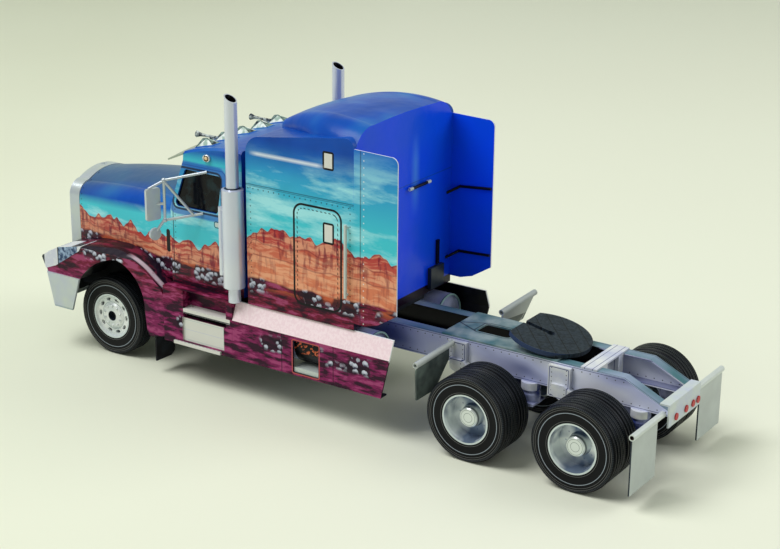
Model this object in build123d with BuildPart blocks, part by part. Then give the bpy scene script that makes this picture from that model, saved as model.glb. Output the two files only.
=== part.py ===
from build123d import *
import os

# Scale model of a long-nosed sleeper tractor, folded and glued from printed card, 1:25.
# Millimetres. The front faces -Y, the left side is +X, and the ground is Z = 0.
# The origin is under the middle of the model's bounding box.
# Stations along the truck are given as distances behind the front axle.

# Driving dimensions
OVERALL_LENGTH = 353.0
FRONT_OVERHANG = 42.0
HALF_WIDTH = 46.0
CARD = 0.8
TYRE_RADIUS = 21.0
DRIVE_AXLE_1 = 222.8
DRIVE_AXLE_2 = 278.0
RAIL_TOP = 47.3
RAIL_BOTTOM = 34.3
RAIL_HALF_SPAN = 16.6
CAB_FRONT = 44.0
CAB_REAR = 90.0
SLEEPER_FRONT = 96.5
SLEEPER_REAR = 159.5
BODY_FLOOR = 50.0

FRONT_AXLE_Y = FRONT_OVERHANG - OVERALL_LENGTH / 2


def aft(distance):
    """Y of a point this far behind the front axle."""
    return FRONT_AXLE_Y + distance


def at(x, distance, z):
    """Point at X and Z, this far behind the front axle."""
    return Vector(x, aft(distance), z)


def side_plane(x):
    """Plane at X = x whose own x runs along +Y and whose own y runs along +Z."""
    return Plane(origin=(x, 0, 0), x_dir=(0, 1, 0), z_dir=(1, 0, 0))


def cross_plane(distance):
    """Plane across the truck, this far behind the front axle, its x along +X, its y along +Z."""
    return Plane(origin=(0, aft(distance), 0), x_dir=(1, 0, 0), z_dir=(0, -1, 0))


def wheel_plane(distance):
    """Plane through an axle whose own x is the distance along +X and whose own y is the radius."""
    return Plane(origin=(0, aft(distance), TYRE_RADIUS), x_dir=(1, 0, 0), z_dir=(0, -1, 0))


def axle_line(distance):
    return Axis((0, aft(distance), TYRE_RADIUS), (1, 0, 0))


def side_outline(*points):
    """Closed side view through points given as (distance behind the front axle, height)."""
    Polyline(*[(aft(distance), height) for distance, height in points], close=True)


def side_arc(*points):
    """Arc in a side view through three such points."""
    ThreePointArc(*[(aft(distance), height) for distance, height in points])


def side_line(*points):
    """Open run of straight lines in a side view through such points."""
    Polyline(*[(aft(distance), height) for distance, height in points])


def rod(start, end, radius, bore=0):
    """Straight round rod or tube between two points."""
    run = end - start
    with BuildPart() as piece:
        with BuildSketch(Plane(origin=start, z_dir=run)):
            Circle(radius)
            if bore:
                Circle(bore, mode=Mode.SUBTRACT)
        extrude(amount=run.length)
    return piece.part


def save(shape, name):
    shape.label = name
    export_step(shape, f"parts/{name}.step")


def save_pair(shape, stem):
    """The left piece as it is, and its mirror image for the right."""
    save(shape, f"{stem}_left")
    save(mirror(shape, about=Plane.YZ), f"{stem}_right")


os.makedirs("parts", exist_ok=True)


# Frame rails: channels open to the inside, stepped down behind the last axle
RAIL_FRONT = -31.9
RAIL_STEP = 287.5
RAIL_SEAT = 305.6
RAIL_END = 309.6
RAIL_END_TOP = 39.0
RAIL_FLANGE = 6.0
TUBE_RADIUS = 1.5
TUBE_BORE = 0.9
HANGER_STATION = 307.5
HANGER_HEIGHT = 35.1
HANGER_HALF_LENGTH = 47.5


def rail_outline(inset):
    """Side view of a rail, with its top and bottom pulled in by inset."""
    side_outline(
        (RAIL_FRONT, RAIL_BOTTOM + inset),
        (RAIL_END, RAIL_BOTTOM + inset),
        (RAIL_END, RAIL_END_TOP - inset),
        (RAIL_SEAT, RAIL_END_TOP - inset),
        (RAIL_STEP, RAIL_TOP - inset),
        (RAIL_FRONT, RAIL_TOP - inset),
    )


with BuildPart() as rail:
    with BuildSketch(side_plane(RAIL_HALF_SPAN)):
        with BuildLine():
            rail_outline(0)
        make_face()
    extrude(amount=-RAIL_FLANGE)
    with BuildSketch(side_plane(RAIL_HALF_SPAN - CARD)):
        with BuildLine():
            rail_outline(CARD)
        make_face()
    extrude(amount=-RAIL_FLANGE, mode=Mode.SUBTRACT)
    with BuildSketch(side_plane(RAIL_HALF_SPAN)):
        with Locations((aft(HANGER_STATION), HANGER_HEIGHT)):
            Circle(TUBE_RADIUS)
        with Locations((aft(HANGER_STATION), RAIL_BOTTOM)):
            Rectangle(2 * TUBE_RADIUS, 2 * (HANGER_HEIGHT - RAIL_BOTTOM))
    extrude(amount=-RAIL_FLANGE, mode=Mode.SUBTRACT)
save_pair(rail.part, "frame_rail")

INSIDE_RAILS = RAIL_HALF_SPAN - RAIL_FLANGE


# Bogie cross member: a top plate across the rails with a gusset box inside each of them
BOGIE_CROSS = 270.0
BOGIE_CROSS_LENGTH = 8.0
GUSSET_WIDTH = 5.0
GUSSET_DEPTH = 9.0
with BuildPart() as bogie_cross_member:
    with BuildSketch(Plane.XY.offset(RAIL_TOP)):
        with Locations((0, aft(BOGIE_CROSS))):
            Rectangle(2 * RAIL_HALF_SPAN, BOGIE_CROSS_LENGTH)
    extrude(amount=CARD)
    with BuildSketch(Plane.XY.offset(RAIL_TOP)):
        with Locations((0, aft(BOGIE_CROSS))):
            with GridLocations(2 * INSIDE_RAILS - GUSSET_WIDTH, 0, 2, 1):
                Rectangle(GUSSET_WIDTH, BOGIE_CROSS_LENGTH)
    extrude(amount=-GUSSET_DEPTH)
save(bogie_cross_member.part, "bogie_cross_member")


# Tail cross member: card folded down over the rails' ends, with round lamps on its rear face
TAIL_REAR = 310.4
TAIL_PLATE_TOP = 39.8
TAIL_PLATE_BOTTOM = 28.8
TAIL_LAMP_HEIGHT = 32.0
TAIL_LAMP_RADIUS = 1.7
TAIL_LAMP_DEPTH = 0.6
TAIL_LAMPS = (-14.2, -8.8, -1.4, 9.2)
with BuildPart() as tail_cross_member:
    with BuildSketch(side_plane(-RAIL_HALF_SPAN)):
        with BuildLine():
            side_outline(
                (RAIL_SEAT, TAIL_PLATE_TOP),
                (TAIL_REAR, TAIL_PLATE_TOP),
                (TAIL_REAR, TAIL_PLATE_BOTTOM),
                (TAIL_REAR - CARD, TAIL_PLATE_BOTTOM),
                (TAIL_REAR - CARD, TAIL_PLATE_TOP - CARD),
                (RAIL_SEAT, TAIL_PLATE_TOP - CARD),
            )
        make_face()
    extrude(amount=2 * RAIL_HALF_SPAN)
    with BuildSketch(cross_plane(TAIL_REAR)):
        with Locations(*[(x, TAIL_LAMP_HEIGHT) for x in TAIL_LAMPS]):
            Circle(TAIL_LAMP_RADIUS)
    extrude(amount=-TAIL_LAMP_DEPTH)
save(tail_cross_member.part, "tail_cross_member")


# Front axle: a beam with a knuckle block and a spindle at each end, under two leaf springs
SPINDLE_RADIUS = 2.0
SPINDLE_CLEARANCE = 0.05
FRONT_SPINDLE_END = 34.6
BEAM_DROP = 6.0
BEAM_THICKNESS = 4.4
KNUCKLE_X = 20.0
KNUCKLE_WIDTH = 5.0
KNUCKLE_HEIGHT = 12.0
SPRING_X = 12.0
SPRING_WIDTH = 4.4
SPRING_REACH = 24.0
with BuildPart() as front_axle:
    with BuildSketch(Plane.XY.offset(TYRE_RADIUS - BEAM_DROP)):
        with Locations((0, aft(0))):
            Rectangle(2 * KNUCKLE_X + 2, BEAM_THICKNESS)
    extrude(amount=BEAM_THICKNESS)
    with BuildSketch(side_plane(KNUCKLE_X)):
        with Locations((aft(0), TYRE_RADIUS)):
            Rectangle(KNUCKLE_WIDTH, KNUCKLE_HEIGHT)
    extrude(amount=KNUCKLE_WIDTH)
    with BuildSketch(side_plane(KNUCKLE_X + KNUCKLE_WIDTH)):
        with Locations((aft(0), TYRE_RADIUS)):
            Circle(SPINDLE_RADIUS)
    extrude(amount=FRONT_SPINDLE_END - KNUCKLE_X - KNUCKLE_WIDTH)
    with BuildSketch(side_plane(SPRING_X)):
        with BuildLine():
            side_arc((-SPRING_REACH, RAIL_BOTTOM), (0, TYRE_RADIUS - 2.4), (SPRING_REACH, RAIL_BOTTOM))
            side_arc((SPRING_REACH, RAIL_BOTTOM), (0, TYRE_RADIUS + 2), (-SPRING_REACH, RAIL_BOTTOM))
        make_face()
    extrude(amount=SPRING_WIDTH)
    mirror(about=Plane.YZ)
save(front_axle.part, "front_axle")


# Drive axles, each with its hangers on the rails, its arms and the air bags behind it
REAR_SPINDLE_END = 41.0
AXLE_TUBE_RADIUS = 3.4
AXLE_TUBE_END = 21.8
HOUSING_RADIUS = 7.5
ARM_OUTER = 20.6
ARM_HEIGHT = 2.6
ARM_EYE = 3.0
HANGER_DEPTH = 2.4
BAG_RADIUS = 4.6
BAG_WAIST = 0.7
BAG_X = 14.8
BAG_BOTTOM = 25.0
SEAT_INNER = 9.0
DRIVE_AXLES = (  # axle, middle of the hanger, hanger's length, hanger's bottom, middle of the air bag
    (DRIVE_AXLE_1, 202.0, 10.0, 37.0, 240.0),
    (DRIVE_AXLE_2, 256.4, 11.3, 31.0, 296.0),
)
for number, (axle, hanger, hanger_length, hanger_bottom, bag) in enumerate(DRIVE_AXLES, start=1):
    with BuildPart() as drive_axle:
        with BuildSketch(wheel_plane(axle)):
            with BuildLine():
                Polyline(
                    (0, 0),
                    (REAR_SPINDLE_END, 0),
                    (REAR_SPINDLE_END, SPINDLE_RADIUS),
                    (AXLE_TUBE_END, SPINDLE_RADIUS),
                    (AXLE_TUBE_END, AXLE_TUBE_RADIUS),
                    (HOUSING_RADIUS, AXLE_TUBE_RADIUS),
                    (HOUSING_RADIUS / 2, HOUSING_RADIUS),
                    (0, HOUSING_RADIUS),
                    close=True,
                )
            make_face()
        revolve(axis=axle_line(axle))
        with BuildSketch(side_plane(RAIL_HALF_SPAN)):
            with Locations((aft(hanger), (RAIL_TOP - 1 + hanger_bottom) / 2)):
                Rectangle(hanger_length, RAIL_TOP - 1 - hanger_bottom)
        extrude(amount=HANGER_DEPTH)
        with BuildSketch(side_plane(RAIL_HALF_SPAN)):
            with BuildLine():
                side_outline(
                    (hanger - ARM_EYE, 38),
                    (hanger + ARM_EYE, 38),
                    (axle, TYRE_RADIUS + AXLE_TUBE_RADIUS + ARM_HEIGHT),
                    (bag + BAG_RADIUS, BAG_BOTTOM),
                    (bag + BAG_RADIUS, BAG_BOTTOM - 1),
                    (axle, TYRE_RADIUS),
                    (hanger - ARM_EYE, 33),
                )
            make_face()
        extrude(amount=ARM_OUTER - RAIL_HALF_SPAN)
        with BuildSketch(Plane.XY.offset(BAG_BOTTOM - 1)):
            with Locations(((ARM_OUTER + SEAT_INNER) / 2, aft(bag))):
                Rectangle(ARM_OUTER - SEAT_INNER, 2 * BAG_RADIUS)
        extrude(amount=1)
        with BuildSketch(Plane(origin=at(BAG_X, bag, BAG_BOTTOM), x_dir=(1, 0, 0), z_dir=(0, -1, 0))):
            with BuildLine():
                middle = (RAIL_BOTTOM - BAG_BOTTOM) / 2
                Polyline(
                    (0, 0),
                    (BAG_RADIUS, 0),
                    (BAG_RADIUS, middle - 1),
                    (BAG_RADIUS - BAG_WAIST, middle),
                    (BAG_RADIUS, middle + 1),
                    (BAG_RADIUS, 2 * middle),
                    (0, 2 * middle),
                    close=True,
                )
            make_face()
        revolve(axis=Axis(at(BAG_X, bag, 0), (0, 0, 1)))
        mirror(about=Plane.YZ)
    save(drive_axle.part, f"drive_axle_{number}")


# Fifth wheel: a flat-fronted disc, rear edge down, with a slot from its front edge to the kingpin hole
FIFTH_WHEEL_STATION = 241.3
FIFTH_WHEEL_HEIGHT = 53.4
FIFTH_WHEEL_TILT = 11.0
FIFTH_WHEEL_RADIUS = 20.0
FIFTH_WHEEL_FRONT = 14.0
FIFTH_WHEEL_THICKNESS = 2.2
KINGPIN_RADIUS = 2.0
KINGPIN_SLOT = 2.6
fifth_wheel_plane = Plane(
    origin=at(0, FIFTH_WHEEL_STATION, FIFTH_WHEEL_HEIGHT), x_dir=(1, 0, 0), z_dir=(0, 0, 1)
).rotated((-FIFTH_WHEEL_TILT, 0, 0))
with BuildPart() as fifth_wheel:
    with BuildSketch(fifth_wheel_plane):
        Circle(FIFTH_WHEEL_RADIUS)
        with Locations((0, -FIFTH_WHEEL_FRONT)):
            Rectangle(
                2 * FIFTH_WHEEL_RADIUS,
                FIFTH_WHEEL_RADIUS,
                align=(Align.CENTER, Align.MAX),
                mode=Mode.SUBTRACT,
            )
        Circle(KINGPIN_RADIUS, mode=Mode.SUBTRACT)
        Rectangle(KINGPIN_SLOT, FIFTH_WHEEL_RADIUS, align=(Align.CENTER, Align.MAX), mode=Mode.SUBTRACT)
    extrude(amount=-FIFTH_WHEEL_THICKNESS)
save(fifth_wheel.part, "fifth_wheel")


# Fifth-wheel mount: a plate across the rails with an opening in its front half, and two saddles
MOUNT_FRONT = 192.0
MOUNT_REAR = 254.0
MOUNT_OPENING = (213.0, 11.0, 18.0)
SADDLE_X = 11.0
SADDLE_WIDTH = 2.0
with BuildPart() as fifth_wheel_mount:
    with BuildSketch(Plane.XY.offset(RAIL_TOP)):
        with Locations((0, aft((MOUNT_FRONT + MOUNT_REAR) / 2))):
            Rectangle(2 * RAIL_HALF_SPAN, MOUNT_REAR - MOUNT_FRONT)
        with Locations((0, aft(MOUNT_OPENING[0]))):
            RectangleRounded(MOUNT_OPENING[1], MOUNT_OPENING[2], 2, mode=Mode.SUBTRACT)
    extrude(amount=CARD)
    with BuildSketch(side_plane(SADDLE_X)):
        with BuildLine():
            side_outline((232, RAIL_TOP), (250, RAIL_TOP), (243, 54), (238, 54))
        make_face()
    extrude(amount=SADDLE_WIDTH)
    mirror(about=Plane.YZ)
    split(bisect_by=fifth_wheel_plane.offset(-FIFTH_WHEEL_THICKNESS), keep=Keep.BOTTOM)
save(fifth_wheel_mount.part, "fifth_wheel_mount")


# Quarter flaps: each hangs from a tube, and the tubes are one straight line set a little askew
QUARTER_FLAPS = (  # name, tube's inner end, tube's outer end, direction in which the flap hangs
    ("left", at(RAIL_HALF_SPAN + 2.5, 199.4, 45.2), at(47, 196.7, 42.1), Vector(0, -0.8, -17.2)),
    ("right", at(-RAIL_HALF_SPAN - 2.5, 203.7, 49.4), at(-47, 206.7, 52.5), Vector(0, -8.6, -17.6)),
)
FLAP_OUTLINE = ((3, 0), (28, 0), (28, 17.2), (14, 17.6), (6, 9), (3, 6))  # along the tube, down from it
for name, inner, outer, hang in QUARTER_FLAPS:
    along = (outer - inner).normalized()
    flap_plane = Plane(origin=inner, x_dir=along, z_dir=along.cross(hang))
    with BuildPart() as quarter_flap:
        add(rod(inner, outer, TUBE_RADIUS, TUBE_BORE))
        with BuildSketch(flap_plane):
            with BuildLine():
                Polyline(*[(run, TUBE_RADIUS - 0.4 + drop) for run, drop in FLAP_OUTLINE], close=True)
            make_face()
        extrude(amount=CARD / 2, both=True)
    save(quarter_flap.part, f"quarter_flap_{name}")


# Mudflap hanger: an open tube across the tail with a flap under each end
FLAP_INNER = 22.6
FLAP_BOTTOM = 7.4
hanger_end = at(HANGER_HALF_LENGTH, HANGER_STATION, HANGER_HEIGHT)
hanger_start = at(-HANGER_HALF_LENGTH, HANGER_STATION, HANGER_HEIGHT)
save(rod(hanger_start, hanger_end, TUBE_RADIUS, TUBE_BORE), "mudflap_hanger")
with BuildPart() as mudflap:
    with BuildSketch(cross_plane(HANGER_STATION - CARD / 2)):
        with BuildLine():
            Polyline(
                (FLAP_INNER, HANGER_HEIGHT - TUBE_RADIUS),
                (HANGER_HALF_LENGTH, HANGER_HEIGHT - TUBE_RADIUS),
                (HANGER_HALF_LENGTH, FLAP_BOTTOM),
                (FLAP_INNER, FLAP_BOTTOM),
                close=True,
            )
        make_face()
    extrude(amount=-CARD)
save_pair(mudflap.part, "mudflap")


# Body underframe: the closed box on the rails that carries the cab and the sleeper
UNDERFRAME_HALF_WIDTH = 20.0
with BuildPart() as underframe:
    with BuildSketch(Plane.XY.offset(RAIL_TOP)):
        with Locations((0, aft((CAB_FRONT + 1 + SLEEPER_REAR - 1) / 2))):
            Rectangle(2 * UNDERFRAME_HALF_WIDTH, SLEEPER_REAR - CAB_FRONT - 2)
    extrude(amount=BODY_FLOOR - RAIL_TOP)
save(underframe.part, "underframe")


# Tank fairings, folded along the top, with a step opening, and the round tanks inside them
FAIRING_FRONT = 88.5
FAIRING_REAR = 181.7
FAIRING_REAR_BOTTOM = 177.0
FAIRING_FOLD = 40.5
FAIRING_TOP = 49.6
FAIRING_TOP_X = 42.2
FAIRING_BOTTOM = 20.5
FAIRING_FLANGE = 5.0
STEP_OPENING = (133.4, 15.2, 30.2, 16.4)
with BuildPart() as tank_fairing:
    with BuildSketch(cross_plane(FAIRING_FRONT)):
        with BuildLine():
            Polyline(
                (HALF_WIDTH, FAIRING_BOTTOM),
                (HALF_WIDTH, FAIRING_FOLD),
                (FAIRING_TOP_X, FAIRING_TOP),
                (FAIRING_TOP_X - CARD, FAIRING_TOP),
                (HALF_WIDTH - CARD, FAIRING_FOLD - 0.3),
                (HALF_WIDTH - CARD, FAIRING_BOTTOM + CARD),
                (HALF_WIDTH - FAIRING_FLANGE, FAIRING_BOTTOM + CARD),
                (HALF_WIDTH - FAIRING_FLANGE, FAIRING_BOTTOM),
                close=True,
            )
        make_face()
    extrude(amount=-(FAIRING_REAR - FAIRING_FRONT))
    with BuildSketch(side_plane(HALF_WIDTH)):
        with BuildLine():
            side_outline(
                (FAIRING_REAR_BOTTOM, FAIRING_BOTTOM), (FAIRING_REAR + 1, FAIRING_BOTTOM), (FAIRING_REAR + 1, FAIRING_FOLD),
                (FAIRING_REAR, FAIRING_FOLD),
            )
        make_face()
        with Locations((aft(STEP_OPENING[0]), STEP_OPENING[2])):
            Rectangle(STEP_OPENING[1], STEP_OPENING[3])
    extrude(amount=-2 * FAIRING_FLANGE, mode=Mode.SUBTRACT)
save_pair(tank_fairing.part, "tank_fairing")

TANK_RADIUS = 11.6
TANK_X = 32.3
TANK_HEIGHT = 35.4
TANK_FRONT = 92.0
TANK_REAR = 165.8
TANK_DISH = 1.0
STEP_TREAD_DEPTH = 2.4
with BuildPart() as fuel_tank:
    with BuildSketch(cross_plane(TANK_FRONT)):
        with Locations((TANK_X, TANK_HEIGHT)):
            Circle(TANK_RADIUS)
    extrude(amount=-(TANK_REAR - TANK_FRONT))
    with BuildSketch(cross_plane(TANK_REAR)):
        with Locations((TANK_X, TANK_HEIGHT)):
            Circle(TANK_RADIUS - CARD)
    extrude(amount=TANK_DISH, mode=Mode.SUBTRACT)
    with BuildSketch(Plane.XY.offset(STEP_OPENING[2] - STEP_OPENING[3] / 2)):
        with Locations((HALF_WIDTH - CARD, aft(STEP_OPENING[0]))):
            Rectangle(12, STEP_OPENING[1] - 0.4, align=(Align.MAX, Align.CENTER))
    extrude(amount=STEP_TREAD_DEPTH)
    with BuildSketch(Plane.XY.offset(TANK_HEIGHT)):
        with Locations((RAIL_HALF_SPAN, aft(105)), (RAIL_HALF_SPAN, aft(150))):
            Rectangle(10, 5, align=(Align.MIN, Align.CENTER))
    extrude(amount=4)
save_pair(fuel_tank.part, "fuel_tank")


# Step boxes under the doors: a cowl panel, a battery box between two treads, and a rear post
STEP_INNER = 30.0
STEP_REAR = 88.4
STEP_BAYS = (  # front, rear, bottom, top, depth of the recess
    (57.0, 84.6, 40.2, 49.7, 6.0),
    (57.0, 84.6, 35.2, 37.9, 3.0),
    (56.4, 83.0, 22.6, 35.2, 0.8),
)
TREAD_OUTER = 47.0
with BuildPart() as step_box:
    with BuildSketch(side_plane(STEP_INNER)):
        with BuildLine():
            side_outline((CAB_FRONT, 20.5), (STEP_REAR, 20.5), (STEP_REAR, BODY_FLOOR), (CAB_FRONT, BODY_FLOOR))
        make_face()
    extrude(amount=HALF_WIDTH - STEP_INNER)
    for front, rear, bottom, top, depth in STEP_BAYS:
        with BuildSketch(side_plane(HALF_WIDTH)):
            with Locations((aft((front + rear) / 2), (bottom + top) / 2)):
                Rectangle(rear - front, top - bottom)
        extrude(amount=-depth, mode=Mode.SUBTRACT)
    with BuildSketch(Plane.XY.offset(20.5)):
        with Locations((HALF_WIDTH, aft(66))):
            Rectangle(TREAD_OUTER - HALF_WIDTH, 30, align=(Align.MIN, Align.CENTER))
    extrude(amount=1.6)
    with BuildSketch(Plane(origin=(RAIL_HALF_SPAN, 0, 0), x_dir=(0, 1, 0), z_dir=(1, 0, 0))):
        with Locations((aft(66), 42)):
            Rectangle(20, 6)
    extrude(amount=STEP_INNER - RAIL_HALF_SPAN)
save_pair(step_box.part, "step_box")


# Bumper: a raked blade wrapped round the front, with a lamp opening near each end
BUMPER_TOP = 41.0
BUMPER_BOTTOM = 22.6
BUMPER_WALL = 1.2
BUMPER_SECTIONS = (  # height, front, corner, rear of the wing
    (BUMPER_BOTTOM, -37.4, -32.6, -20.0),
    (BUMPER_TOP, -FRONT_OVERHANG, -37.0, -14.2),
)
with BuildPart() as bumper:
    for inset, mode in ((0, Mode.ADD), (BUMPER_WALL, Mode.SUBTRACT)):
        for height, front, corner, rear in BUMPER_SECTIONS:
            with BuildSketch(Plane.XY.offset(height)):
                with BuildLine():
                    Polyline(
                        (HALF_WIDTH - inset, aft(rear)),
                        (HALF_WIDTH - inset, aft(corner + inset / 2)),
                        (40 - inset / 2, aft(front + inset)),
                        (inset / 2 - 40, aft(front + inset)),
                        (inset - HALF_WIDTH, aft(corner + inset / 2)),
                        (inset - HALF_WIDTH, aft(rear)),
                        close=True,
                    )
                make_face()
        loft(mode=mode)
    with BuildSketch(cross_plane(-30)):
        with Locations((-29, 32), (29, 32)):
            RectangleRounded(9, 5, 1)
        with Locations((0, 29)):
            RectangleRounded(26, 5, 1)
    extrude(amount=20, mode=Mode.SUBTRACT)
save(bumper.part, "bumper")


# Hood: sections from the radiator to the cowl, flat sides, rounded shoulders and a crowned top
HOOD_SECTIONS = (  # distance behind the front axle, half width, top of the side, shoulder, crown
    (-32.0, 24.0, 77.5, 85.0, 89.6),
    (-6.0, 28.2, 80.0, 88.5, 93.6),
    (CAB_FRONT, 36.0, 83.0, 91.0, 95.4),
)
HOOD_SHOULDER = 8.0
HOOD_WALL = 1.2


def hood_section(half_width, side_top, shoulder, crown, inset):
    """Cross section: straight sides up to side_top, an arc to each shoulder, and an arc over the crown."""
    edge = half_width - inset
    turn = edge - HOOD_SHOULDER
    bend = edge - HOOD_SHOULDER * 0.28
    bend_height = side_top + (shoulder - side_top) * 0.68 - inset
    Polyline((edge, side_top - inset), (edge, BODY_FLOOR), (-edge, BODY_FLOOR), (-edge, side_top - inset))
    ThreePointArc((-edge, side_top - inset), (-bend, bend_height), (-turn, shoulder - inset))
    ThreePointArc((-turn, shoulder - inset), (0, crown - inset), (turn, shoulder - inset))
    ThreePointArc((turn, shoulder - inset), (bend, bend_height), (edge, side_top - inset))


with BuildPart() as hood_block:
    for distance, *shape in HOOD_SECTIONS:
        with BuildSketch(cross_plane(distance)):
            with BuildLine():
                hood_section(*shape, inset=0)
            make_face()
    loft()

with BuildPart() as hood:
    add(hood_block.part)
    for distance, *shape in HOOD_SECTIONS:
        with BuildSketch(cross_plane(distance)):
            with BuildLine():
                hood_section(*shape, inset=HOOD_WALL)
            make_face()
    loft(mode=Mode.SUBTRACT)
save(hood.part, "hood")


# Grille shell: a rounded frame round the radiator opening, with a plain fin on its crown
SHELL_FRONT = -40.4
SHELL_REAR = -32.0
SHELL_BOTTOM = 42.0
SHELL_HALF_WIDTH = 24.2
GRILLE_HALF_WIDTH = 17.5
GRILLE_BOTTOM = 46.0
GRILLE_SIDE_TOP = 78.0
GRILLE_CROWN = 83.0
GRILLE_BARS = 13
with BuildPart() as grille_shell:
    with BuildSketch(cross_plane(SHELL_REAR)):
        with BuildLine():
            edge = SHELL_HALF_WIDTH
            turn = edge - HOOD_SHOULDER
            Polyline((edge, 78), (edge, SHELL_BOTTOM), (-edge, SHELL_BOTTOM), (-edge, 78))
            ThreePointArc((-edge, 78), (-edge + 2.4, 83.3), (-turn, 85.8))
            ThreePointArc((-turn, 85.8), (0, 90), (turn, 85.8))
            ThreePointArc((turn, 85.8), (edge - 2.4, 83.3), (edge, 78))
        make_face()
    extrude(amount=SHELL_REAR - SHELL_FRONT)
    front_rim = grille_shell.faces().sort_by(Axis.Y)[0].outer_wire().edges().filter_by(
        lambda edge: edge.center().Z > SHELL_BOTTOM + 1
    )
    chamfer(front_rim, length=1.6)
    with BuildSketch(cross_plane(SHELL_REAR)):
        with BuildLine():
            Polyline(
                (GRILLE_HALF_WIDTH, GRILLE_SIDE_TOP),
                (GRILLE_HALF_WIDTH, GRILLE_BOTTOM),
                (-GRILLE_HALF_WIDTH, GRILLE_BOTTOM),
                (-GRILLE_HALF_WIDTH, GRILLE_SIDE_TOP),
            )
            ThreePointArc(
                (-GRILLE_HALF_WIDTH, GRILLE_SIDE_TOP), (0, GRILLE_CROWN), (GRILLE_HALF_WIDTH, GRILLE_SIDE_TOP)
            )
        make_face()
    extrude(amount=SHELL_REAR - SHELL_FRONT, mode=Mode.SUBTRACT)
    with BuildSketch(side_plane(-0.6)):
        with BuildLine():
            side_outline((-38, 88), (-33.5, 88), (-34.5, 91.2), (-37.5, 90.2))
        make_face()
    extrude(amount=1.2)
save(grille_shell.part, "grille_shell")

BAR_PITCH = 2 * GRILLE_HALF_WIDTH / GRILLE_BARS
with BuildPart() as grille:
    with BuildSketch(cross_plane(SHELL_REAR - 3)):
        with BuildLine():
            Polyline(
                (GRILLE_HALF_WIDTH, GRILLE_SIDE_TOP),
                (GRILLE_HALF_WIDTH, GRILLE_BOTTOM),
                (-GRILLE_HALF_WIDTH, GRILLE_BOTTOM),
                (-GRILLE_HALF_WIDTH, GRILLE_SIDE_TOP),
            )
            ThreePointArc(
                (-GRILLE_HALF_WIDTH, GRILLE_SIDE_TOP), (0, GRILLE_CROWN), (GRILLE_HALF_WIDTH, GRILLE_SIDE_TOP)
            )
        make_face()
        with Locations((0, (GRILLE_BOTTOM + GRILLE_SIDE_TOP) / 2)):
            with GridLocations(BAR_PITCH, 0, GRILLE_BARS - 1, 1):
                Rectangle(BAR_PITCH * 0.55, GRILLE_SIDE_TOP - GRILLE_BOTTOM - 2, mode=Mode.SUBTRACT)
    extrude(amount=CARD)
save(grille.part, "grille")


# Headlamp pods: wedges let into the fenders' noses
LAMP_INNER = 33.0
LAMP_OUTER = 45.3
FENDER_OUTER = 45.0
LINER_BOTTOM = 37.0
with BuildPart() as headlamp:
    with BuildSketch(side_plane(LAMP_INNER)):
        with BuildLine():
            side_outline((-38.2, 42.6), (-41.1, 49.1), (-29, 55.9), (-12, 59.4), (-14, 56.4), (-23, 50.6), (-31, 45.4))
        make_face()
    extrude(amount=LAMP_OUTER - LAMP_INNER)
    chamfer(headlamp.edges().filter_by(Axis.X).sort_by(Axis.Y)[0], length=0.8)

# Fenders: the side outline run across from the hood's side to the outer face
with BuildPart() as fender:
    with BuildSketch(side_plane(SHELL_HALF_WIDTH + 0.1)):
        with BuildLine():
            side_line((-37.2, BUMPER_TOP), (-40.6, 48.6), (-35.4, 52.8))
            side_arc((-35.4, 52.8), (-18, 58.2), (3, 60.8))
            side_arc((3, 60.8), (21, 59.4), (35, 51.8))
            side_line(
                (35, 51.8), (41.4, 47.2), (43.9, 42), (43.9, 21.8), (33.4, 19.6), (31.6, 22), (30.4, 34)
            )
            side_arc((30.4, 34), (24.4, 49.4), (12, 56.6))
            side_arc((12, 56.6), (-2, 52), (-14.2, BUMPER_TOP))
            side_line((-14.2, BUMPER_TOP), (-37.2, BUMPER_TOP))
        make_face()
    extrude(amount=FENDER_OUTER - SHELL_HALF_WIDTH - 0.1)
    with BuildSketch(side_plane(SHELL_HALF_WIDTH + 0.1)):
        with BuildLine():
            side_outline((-24, LINER_BOTTOM), (-24, 54), (12, 58), (31, 50), (31, LINER_BOTTOM))
        make_face()
    extrude(amount=CARD)
    add(hood_block.part, mode=Mode.SUBTRACT)
    add(headlamp.part, mode=Mode.SUBTRACT)
    split(bisect_by=Plane(origin=(FENDER_OUTER, 0, 58.6), z_dir=(1, 0, 1.4)), keep=Keep.BOTTOM)
save_pair(fender.part, "fender")
save_pair(headlamp.part, "headlamp")

# Splash flaps behind the front wheels
with BuildPart() as splash_flap:
    with BuildSketch(cross_plane(36)):
        with BuildLine():
            Polyline((30, 20.14), (44.4, 20.14), (44.4, 6.4), (33, 6), (30, 8), close=True)
        make_face()
    extrude(amount=-CARD)
save_pair(splash_flap.part, "splash_flap")


# Cab: walls and floor with the windows cut, and a band of glazing inside them
CAB_HALF_WIDTH = 38.0
CAB_WALL = 1.2
CAB_TOP = 115.0
CAB_TOP_FRONT = 53.2
COWL_HEIGHT = 89.0
GLAZING = 0.6
SIDE_WINDOW = ((46.8, 90.6), (54.2, 110.6), (77.6, 110.2), (74.4, 90.6))
WINDSHIELD = (2.0, 34.0, 92.6, 111.0)


def cab_side(inset):
    """Side view of the cab, pulled in by inset all round."""
    side_outline(
        (CAB_FRONT + inset, BODY_FLOOR + inset),
        (CAB_REAR - inset, BODY_FLOOR + inset),
        (CAB_REAR - inset, CAB_TOP),
        (CAB_TOP_FRONT + inset, CAB_TOP),
        (CAB_FRONT + inset, COWL_HEIGHT),
    )


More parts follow.
